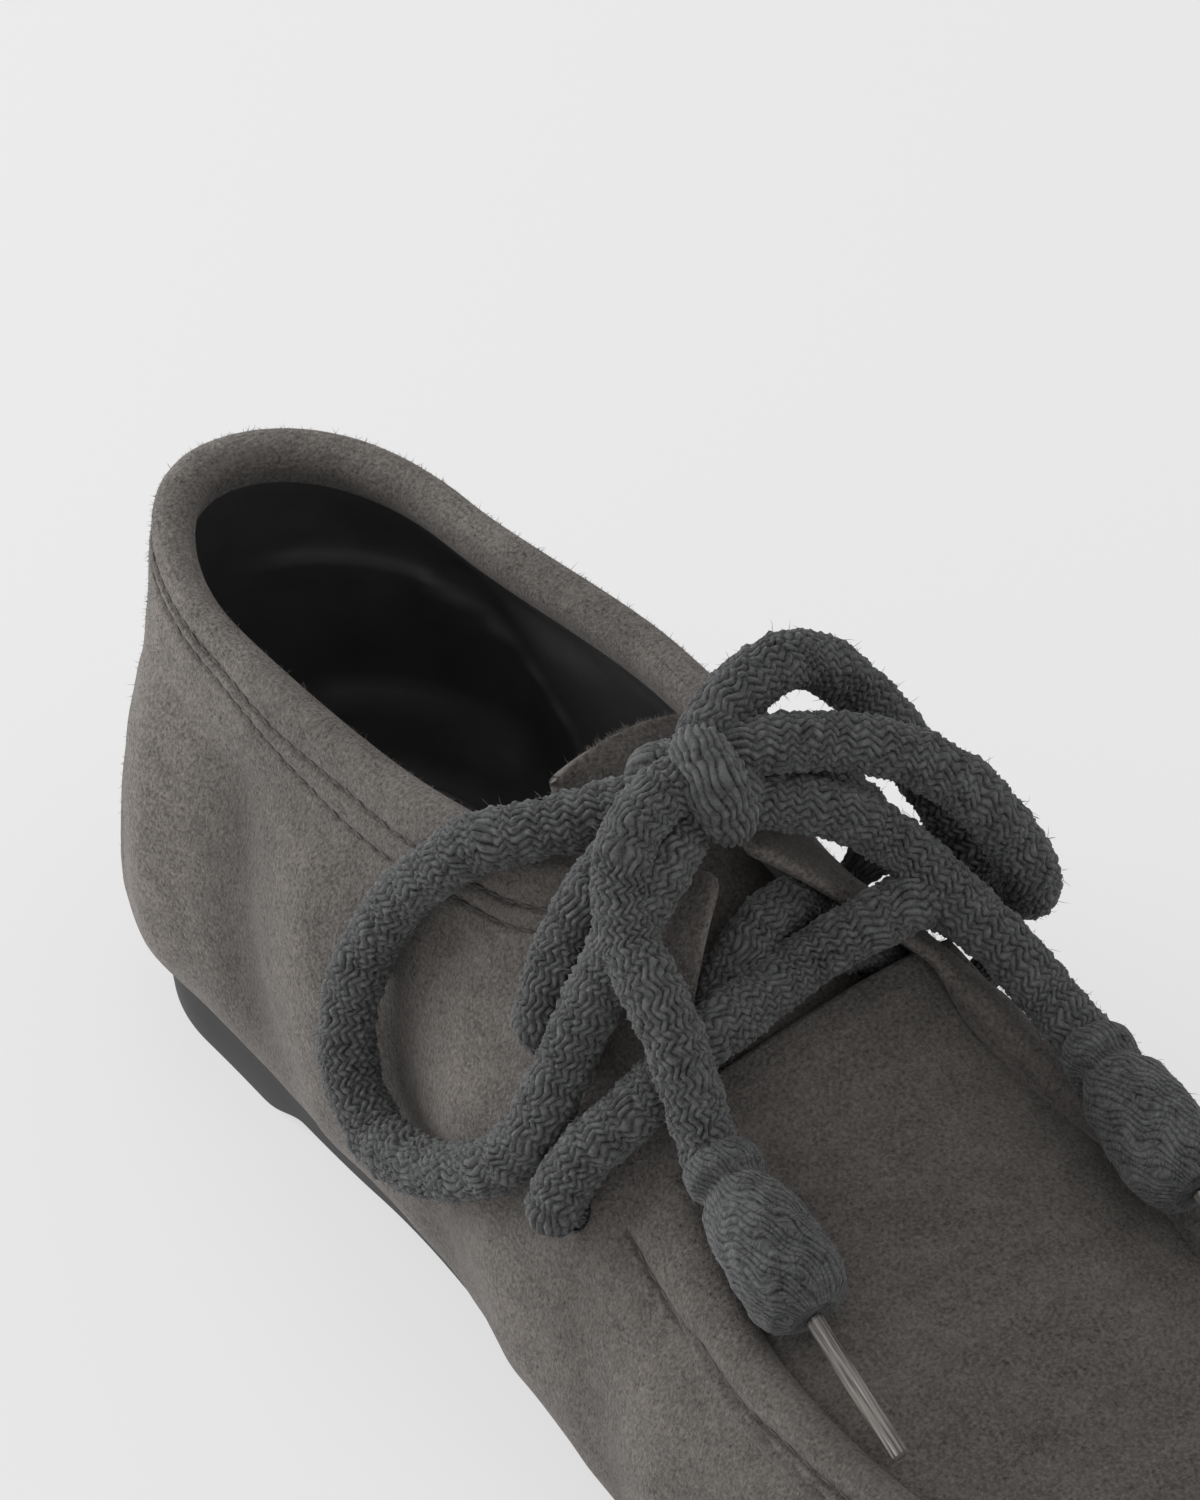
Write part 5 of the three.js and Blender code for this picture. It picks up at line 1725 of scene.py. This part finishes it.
        wind = unit(np.cross(way, out) * 0.6 + way)
        fibres(
            surface, grid[row, column] - out * 0.0002, unit(out * 0.4 + wild * 0.4 + wind * 0.8),
            knit.lengths(rng, count), FIBRE_RADIUS, unit(wild * 0.6 + wind),
        )
        ring = rng.uniform(0, 2 * np.pi, TUFT_FIBRES)
        out = across[-1] * np.cos(ring)[:, None] + other[-1] * np.sin(ring)[:, None]
        roots = end - way * 0.0025 + out * rng.uniform(0.0012, 0.0046, (TUFT_FIBRES, 1))
        wild = rng.normal(size=(TUFT_FIBRES, 3))
        lengths = rng.uniform(0.0015, 0.0038, TUFT_FIBRES)
        ways = unit(way + out * 0.45 + wild * 0.25)
        fibres(surface, roots, ways, lengths, TUFT_RADIUS, unit(out + wild * 0.5))
        piece = surface.build(name, finish("wool"))
        return finish_piece(piece, "lace_wool", node)

    def tip(self, name, node, span, seed):
        """A flattened tube of film with soft folds along it and square-cut ends."""
        start, end = span
        start = start + unit(end - start) * CLEARANCE
        rows, around = 48, 40
        place = np.linspace(0, 1, rows)[:, None]
        path = start + (end - start) * place
        _, across, other = carried_frames(path)
        angle = full_turn(around)[None, :]
        fold = 0.08 * np.cos(3 * angle + 2 * place + seed) + 0.04 * np.cos(7 * angle - 3 * place)
        radius = AGLET_RADIUS * (0.94 + fold)
        grid = path[:, None] + spokes_at(across, AGLET_FLATNESS * other, angle) * radius[..., None]
        uv = np.stack(np.meshgrid(np.linspace(0, 1, around + 1), np.linspace(0, 1, rows)), -1)
        surface = Surface()
        surface.tube(grid, uv)
        piece = surface.build(name, finish("film"))
        edge = piece.modifiers.new("edge", "BEVEL")
        edge.width = 0.0001
        edge.segments = 1
        edge.limit_method = "ANGLE"
        edge.angle_limit = math.radians(50)
        return finish_piece(piece, "aglet_film", node)


class MOCCASIN_OT_upper(MoccasinOperator, bpy.types.Operator):
    """Builds the suede wall with its padded collar, raised seam, creases, lining and eyelets"""

    bl_idname = "moccasin.upper"
    bl_label = "Wall"

    def build(self, scene):
        settings = scene.moccasin_upper
        surface, lines = upper_shell(settings)
        piece = surface.build("upper_shell", finish("suede"), finish("lining"))
        depth = 3 * WALL
        cutters = []
        for name in EYELETS:
            start, end = placed([beyond(name, -depth), beyond(name, depth)])
            cutters.append((start, end, PRESSED_RADIUS + EYELET_CLEARANCE))
        punch(piece, cutters)
        finish_piece(piece, "suede", "upper")
        self.stitches(settings, lines)
        self.nap(settings, lines)

    def stitches(self, settings, lines):
        """Two rows of small stitches under the collar's roll and one in the raised seam's groove: slim
        beads laid along the grooves, each one stitch long."""
        outside, normals, down, last = (lines[key] for key in ("outside", "normals", "down", "last"))
        half = last.half_count
        surface = Surface()
        on_collar = last.along < TAB_ALONG - 0.012
        on_seam = last.along > THROAT_ALONG + 0.006
        place = np.clip(last.along / TAB_ALONG, 0, 1)
        rows = (
            (read(COLLAR_LINES, "first", place), on_collar, settings.stitch),
            (read(COLLAR_LINES, "second", place), on_collar, settings.stitch),
            (seam_distance(last.side, last.along), on_seam, settings.stitch * 1.2),
        )
        for target, used, stitch in rows:
            order = np.arange(len(last.along))
            if used[0]:
                order = np.roll(order, len(order) - half)
            order = order[used[order]]
            picked = np.abs(down[:, order] - target[None, order]).argmin(axis=0)
            points = outside[picked, order]
            ups = normals[picked, order]
            distance = travelled(points)
            marks = np.arange(0.001, distance[-1] - stitch, stitch)
            start = at_distances(marks, distance, points)
            end = at_distances(marks + stitch * 0.72, distance, points)
            up = unit(at_distances(marks, distance, ups))
            self.beads(surface, placed(start), placed(end), up, BEAD_RADIUS)
        piece = surface.build("seam_stitches", finish("thread"))
        finish_piece(piece, "suede")

    def beads(self, surface, start, end, up, radius):
        """Adds one bead for each pair of points: eight-sided rings whose radius falls away at both ends."""
        around, rows = 8, 7
        t = np.linspace(0, 1, rows)
        swell = 0.98 * np.sqrt(np.maximum(1 - (2 * t - 1) ** 6, 0)) + 0.02
        way = unit(end - start)
        cross = unit(np.cross(way, up))
        lift = up * radius * 0.2
        angle = full_turn(around)
        arch = (radius * 0.8 * np.sin(np.pi * t))[:, None]
        for a, b, c, u in zip(start + lift, end + lift, cross, np.cross(cross, way)):
            path = a + (b - a) * t[:, None] + u * arch
            spokes = c * np.cos(angle)[:, None] - u * np.sin(angle)[:, None]
            grid = path[:, None] + spokes[None] * (radius * swell)[:, None, None]
            surface.tube(grid, np.zeros((rows, around + 1, 2)))

    def nap(self, settings, lines):
        """Loose fibres that stand off the suede, most of them over the collar's crest."""
        outside, normals, down = (lines[key] for key in ("outside", "normals", "down"))
        rng = np.random.default_rng(31)
        count = settings.nap_count
        near_crest = np.exp(-(down / 0.008)) + 0.06
        near_crest[: len(FOOT_TURNS)] = 0
        tall = np.linalg.norm(np.gradient(outside, axis=0), axis=-1)
        wide = np.linalg.norm(round_step(outside), axis=-1)
        weight = (near_crest * (tall * wide)).ravel()
        picked = rng.choice(weight.size, count, p=weight / weight.sum())
        row, column = np.unravel_index(picked, down.shape)
        jitter = rng.uniform(-0.5, 0.5, (count, 1)) * (np.roll(outside, -1, axis=1) - outside)[row, column]
        roots = outside[row, column] + jitter
        ups = normals[row, column]
        wild = unit(rng.normal(size=(count, 3)))
        lengths = settings.nap * rng.gamma(3.0, 0.34, count)
        surface = Surface()
        bristles(
            surface, placed(roots) - ups * 0.00008, unit(ups + wild * 0.8), lengths, HAIR_RADIUS,
            **UNSEWN, tone=HAIR_TONE,
        )
        piece = surface.build("suede_fibres", finish("suede"))
        finish_piece(piece, "suede")


class MOCCASIN_OT_plug(MoccasinOperator, bpy.types.Operator):
    """Builds the flat suede plug between the raised seams"""

    bl_idname = "moccasin.plug"
    bl_label = "Toe plug"

    def build(self, scene):
        """Each row is a cubic from seam to seam that leaves both borders along the wall's own slope."""
        settings = scene.moccasin_upper
        last = Last(settings.grid, FOOT_TURNS, WALL_SHARES)
        count = len(last.along)
        first = int(np.argmax(last.along >= THROAT_ALONG - 1e-6))
        here = np.arange(first, last.half_count)
        there = (count - here) % count
        border = last.edge - last.over * UNDERLAP - last.top * PLUG_SINK
        start = border[here]
        end = border[there]
        pull = np.linalg.norm(end - start, axis=-1, keepdims=True)
        level = np.array([0, 1, 1])
        leave = last.over[here] * level * pull
        arrive = last.over[there] * -level * pull
        t = np.linspace(0, 1, PLUG_COLUMNS)[None, :, None]
        top = hermite(t, start[:, None], leave[:, None], end[:, None], arrive[:, None])
        fine = np.linspace(0, len(here) - 1, 2 * len(here) - 1)
        low = np.floor(fine).astype(int)
        high = np.minimum(low + 1, len(here) - 1)
        top = top[low] + (top[high] - top[low]) * (fine - low)[:, None, None]
        lift = 0.00025 * waves(top, 0.030, 21) + 0.00008 * waves(top, 0.009, 22)
        rim = np.sin(np.pi * np.linspace(0, 1, top.shape[1]))[None, :]
        top[..., 2] += lift * rim
        # The plug's suede is painted darker as shade
        surface = sheet_surface(top, PLUG_THICKNESS, PLUG_SHADE)
        piece = surface.build("toe_plug", finish("suede"), finish("lining"))
        merge_doubles(piece)
        finish_piece(piece, "suede", "upper")


def sheet_surface(top, thickness, tone, round_edge=4):
    """A closed sheet, suede over lining: the grid of its upper side, the same grid a thickness below, and
    a half round along its two long borders. Rows run across the sheet."""
    normals = unit(np.cross(np.gradient(top, axis=0), np.gradient(top, axis=1)))
    flip = np.sign(normals[..., 2].mean())
    normals = normals * flip
    across = unit(np.gradient(top, axis=1))
    half = thickness / 2
    centre = top - normals * half
    angles = np.linspace(np.pi / 2, -np.pi / 2, 2 * round_edge + 1)[1:-1]

    def border(column, way, turns):
        """Lines along one border, each at its angle round the edge."""
        sideways, upward = way * across[:, column], normals[:, column]
        lines = [centre[:, column] + half * (sideways * math.cos(a) + upward * math.sin(a)) for a in turns]
        return np.stack(lines, 1)

    under = (centre - normals * half)[:, ::-1]
    loop = np.concatenate([top, border(-1, 1, angles), under, border(0, -1, angles[::-1])], axis=1)
    grid = np.swapaxes(loop, 0, 1)
    turned = grid if flip > 0 else grid[:, ::-1]
    width, bend = top.shape[1], len(angles)
    kinds = np.zeros(len(grid), int)
    kinds[width + bend: 2 * width + bend] = 1
    surface = Surface()
    uv = length_uv(turned, round_rows=True)
    surface.grid(placed(turned), uv, round_rows=True, kind=kinds, **UNSEWN, tone=tone)
    rows, columns = turned.shape[:2]
    ring = np.arange(rows) * columns
    flat = np.zeros((rows * columns, 2))
    for column, way in ((0, 1), (columns - 1, -1)):
        upper = ring[:width] + column
        lower = ring[width + bend: 2 * width + bend][::-1] + column
        quads = np.stack([upper[:-1], upper[1:], lower[1:], lower[:-1]], -1)
        surface.more_faces(0, quads[:, ::way], flat)
        near = np.concatenate([[upper[-1]], ring[width: width + bend] + column, [lower[-1]]])
        far = np.concatenate([[lower[0]], ring[2 * width + bend:] + column, [upper[0]]])
        for rim in (near, far):
            surface.more_faces(0, rim[None, ::-way], flat)
    return surface


class MOCCASIN_OT_tongue(MoccasinOperator, bpy.types.Operator):
    """Builds the arched suede tongue"""

    bl_idname = "moccasin.tongue"
    bl_label = "Tongue"

    def build(self, scene):
        """Rows across the tongue are parabolas that drop at its sides, from a table along its length."""
        place = np.linspace(0, 1, 110)[:, None]
        t = np.linspace(-1, 1, 81)[None, :]
        along = THROAT_ALONG + TONGUE_SEAT + (TONGUE_TIP_ALONG - THROAT_ALONG - TONGUE_SEAT) * place
        height = TONGUE_BASE + (TONGUE_TIP_HEIGHT - TONGUE_BASE) * read(TONGUE, "rise", place)
        half = read(TONGUE, "width", place) * TONGUE_WIDTH / 2
        sag = read(TONGUE, "sag", place) * TONGUE_WIDTH
        points = np.stack([along + 0 * t, middle(along) + half * t, height - sag * t**2], -1)
        points[..., 2] += 0.0003 * waves(points, 0.018, 41)
        surface = sheet_surface(points, TONGUE_THICKNESS, TONGUE_TONE)
        piece = surface.build("tongue_leaf", finish("suede"), finish("lining"))
        merge_doubles(piece)
        finish_piece(piece, "suede", "tongue")
        rng = np.random.default_rng(43)
        column = rng.integers(0, points.shape[1], TONGUE_FIBRES)
        out = unit(points[-1] - points[-2])[column]
        spread = np.array([1, 0, 0]) * rng.uniform(-0.001, 0.001, (len(column), 1))
        roots = points[-1, column] + spread - np.array([0, 0, TONGUE_THICKNESS / 2])
        wild = rng.normal(size=(len(column), 3))
        lengths = 0.0006 * rng.gamma(3.0, 0.34, len(column))
        surface = Surface()
        bristles(
            surface, placed(roots), unit(out + 0.35 * wild), lengths, HAIR_RADIUS, **UNSEWN, tone=HAIR_TONE,
        )
        finish_piece(surface.build("tongue_fibres", finish("suede")), "suede")


def slab_rings(spacing, levels):
    """Rings round the shoe, one for each level, which is its inset from the bulge line and a function of
    the places along and of x for its height."""
    side, along, _ = shoe_ring(spacing)
    outline = bulge_points(side, along)
    out = round_step(outline)
    out = unit(np.stack([out[:, 1], -out[:, 0], np.zeros(len(out))], -1))
    rings = []
    for inset, height in levels:
        made = outline - out * inset
        made[:, 2] = height(along, made[:, 0])
        rings.append(made)
    return along, rings


def filled(ring, along, height, steps):
    """Rings that shrink from a ring to the shoe's middle line, at the heights of that level."""
    heel, toe = ring[:, 0].min(), ring[:, 0].max()
    spine_x = heel + (toe - heel) * along / LENGTH
    spine = np.stack([spine_x, middle(along), 0 * along], -1)
    made = []
    for share in steps:
        points = ring + (spine - ring) * share
        points[:, 2] = height(along, points[:, 0])
        made.append(points)
    return made


def underside(along):
    """Height of the sole's underside: flat heel, a breast and a waist, flat forefoot and toe spring."""
    place = (along - BREAST_ALONG) / (LENGTH - BREAST_ALONG)
    breast = BREAST_STEP * ease(along, BREAST_ALONG, BREAST_ALONG + BREAST_RUN)
    spring = TOE_SPRING * (along > BREAST_ALONG)
    return read(UNDERSIDE, "step", place) * breast + read(UNDERSIDE, "spring", place) * spring


class MOCCASIN_OT_sole(MoccasinOperator, bpy.types.Operator):
    """Builds the moulded rubber sole and the foot bed"""

    bl_idname = "moccasin.sole"
    bl_label = "Sole and foot bed"

    def build(self, scene):
        settings = scene.moccasin_sole
        self.outsole(settings)
        self.bed()

    def outsole(self, settings):
        """The sole's sides lean by its draft, its edges are quarter rounds, and the tread has straight
        grooves across it, cut in by a rounded square wave."""
        inset = FEATHER_INSET - SOLE_OVERHANG
        edge = settings.edge

        def top(along, x):
            return feather_height(x) - CLEARANCE

        def bottom(along, x):
            return underside(along)

        def between(share):
            return lambda along, x: (
                underside(along) + edge + (top(along, x) - edge - underside(along) - edge) * share
            )

        levels = []
        for a in np.linspace(0, np.pi / 2, 5):
            levels.append((
                inset + SOLE_DRAFT + edge * (1 - math.sin(a)),
                lambda along, x, a=a: underside(along) + edge * (1 - math.cos(a)),
            ))
        for share in np.linspace(0, 1, 9)[1:-1]:
            levels.append((inset + SOLE_DRAFT * (1 - share), between(share)))
        for a in np.linspace(0, np.pi / 2, 5):
            levels.append((
                inset + edge * (1 - math.cos(a)),
                lambda along, x, a=a: top(along, x) - edge * (1 - math.sin(a)),
            ))
        along, rings = slab_rings(SOLE_SPACING, levels)
        low = filled(rings[0], along, bottom, np.linspace(1, 0, 26, endpoint=False))
        high = filled(rings[-1], along, top, np.linspace(0, 1, 7)[1:])
        rows = np.stack([*low, *rings, *high])
        tread = np.zeros(rows.shape[:2])
        depth = np.linspace(0, 1, len(low))
        wave = np.sin(2 * np.pi * rows[: len(low), :, 0] / settings.rib)
        cut = ease(wave, 0.1, 0.7) * ease(1 - depth[:, None], 0.06, 0.16)
        cut = cut * (1 - bell(rows[: len(low), :, 0] - BREAST_ALONG, 0.008))
        tread[: len(low)] = settings.rib_depth * cut
        rows[..., 2] += tread
        self.close(rows, "sole_unit", finish("rubber"), "sole_rubber", "outsole")

    def bed(self):
        """The foot bed's edge is rounded, and its top dips a little towards the middle at the heel."""
        inset = FEATHER_INSET + BED_INSET

        def bottom(along, x):
            return feather_height(x) + WALL + CLEARANCE

        def top(along, x):
            return bottom(along, x) + BED_THICKNESS

        levels = [(inset + BED_FOOT, bottom)]
        for share in (0.15, 0.4, 0.62):
            levels.append((inset, lambda along, x, share=share: bottom(along, x) + BED_THICKNESS * share))
        for a in np.linspace(0, np.pi / 2, 5)[1:]:
            levels.append((
                inset + BED_EDGE * (1 - math.cos(a)),
                lambda along, x, a=a: top(along, x) - BED_EDGE * (1 - math.sin(a)),
            ))
        along, rings = slab_rings(BED_SPACING, levels)
        low = filled(rings[0], along, bottom, np.linspace(1, 0, 4, endpoint=False))
        steps = np.linspace(0, 1, 18)[1:]
        high = filled(rings[-1], along, top, steps)
        for step, ring in zip(steps, high):
            ring[:, 2] -= BED_DISH * ease(step, 0, 0.8) * (1 - ease(ring[:, 0], 0.060, 0.100))
        rows = np.stack([*low, *rings, *high])
        # The foot bed is painted paler all over as light
        self.close(rows, "foot_bed", finish("lining"), "lining", "insole", gleam=BED_GLEAM)

    def close(self, rows, name, made, slot, node, **marks):
        surface = Surface()
        surface.grid(placed(rows), length_uv(rows, round_columns=True), round_columns=True, **marks)
        piece = surface.build(name, made)
        merge_doubles(piece)
        finish_piece(piece, slot, node)


class MOCCASIN_PT_panel(bpy.types.Panel):
    """Lists the shoe's settings and builds its pieces"""

    bl_idname = "MOCCASIN_PT_panel"
    bl_label = "Moccasin"
    bl_space_type = "VIEW_3D"
    bl_region_type = "UI"
    bl_category = "Moccasin"

    def draw(self, context):
        layout = self.layout
        for group_name, operators in PANEL_ROWS:
            box = layout.box()
            settings = getattr(context.scene, group_name)
            for name in settings.bl_rna.properties.keys():
                if name not in ("rna_type", "name"):
                    box.prop(settings, name)
            for operator in operators:
                box.operator(operator.bl_idname)


SETTINGS = {
    "moccasin_upper": MoccasinUpperSettings,
    "moccasin_lace": MoccasinLaceSettings,
    "moccasin_sole": MoccasinSoleSettings,
    "moccasin_stage": MoccasinStageSettings,
}
PANEL_ROWS = (
    ("moccasin_stage", (MOCCASIN_OT_stage,)),
    ("moccasin_lace", (MOCCASIN_OT_lace,)),
    ("moccasin_upper", (MOCCASIN_OT_upper, MOCCASIN_OT_plug, MOCCASIN_OT_tongue)),
    ("moccasin_sole", (MOCCASIN_OT_sole,)),
)
CLASSES = (*SETTINGS.values(), *(operator for _, row in PANEL_ROWS for operator in row), MOCCASIN_PT_panel)


def register():
    for made in CLASSES:
        bpy.utils.register_class(made)
    for name, made in SETTINGS.items():
        setattr(bpy.types.Scene, name, PointerProperty(type=made))


def unregister():
    for name in SETTINGS:
        delattr(bpy.types.Scene, name)
    for made in reversed(CLASSES):
        bpy.utils.unregister_class(made)


def main():
    """Builds the stage first, then the cords, then the rest of the shoe."""
    register()
    bpy.ops.moccasin.stage()
    bpy.ops.moccasin.lace()
    bpy.ops.moccasin.upper()
    bpy.ops.moccasin.plug()
    bpy.ops.moccasin.tongue()
    bpy.ops.moccasin.sole()


if __name__ == "__main__":
    main()
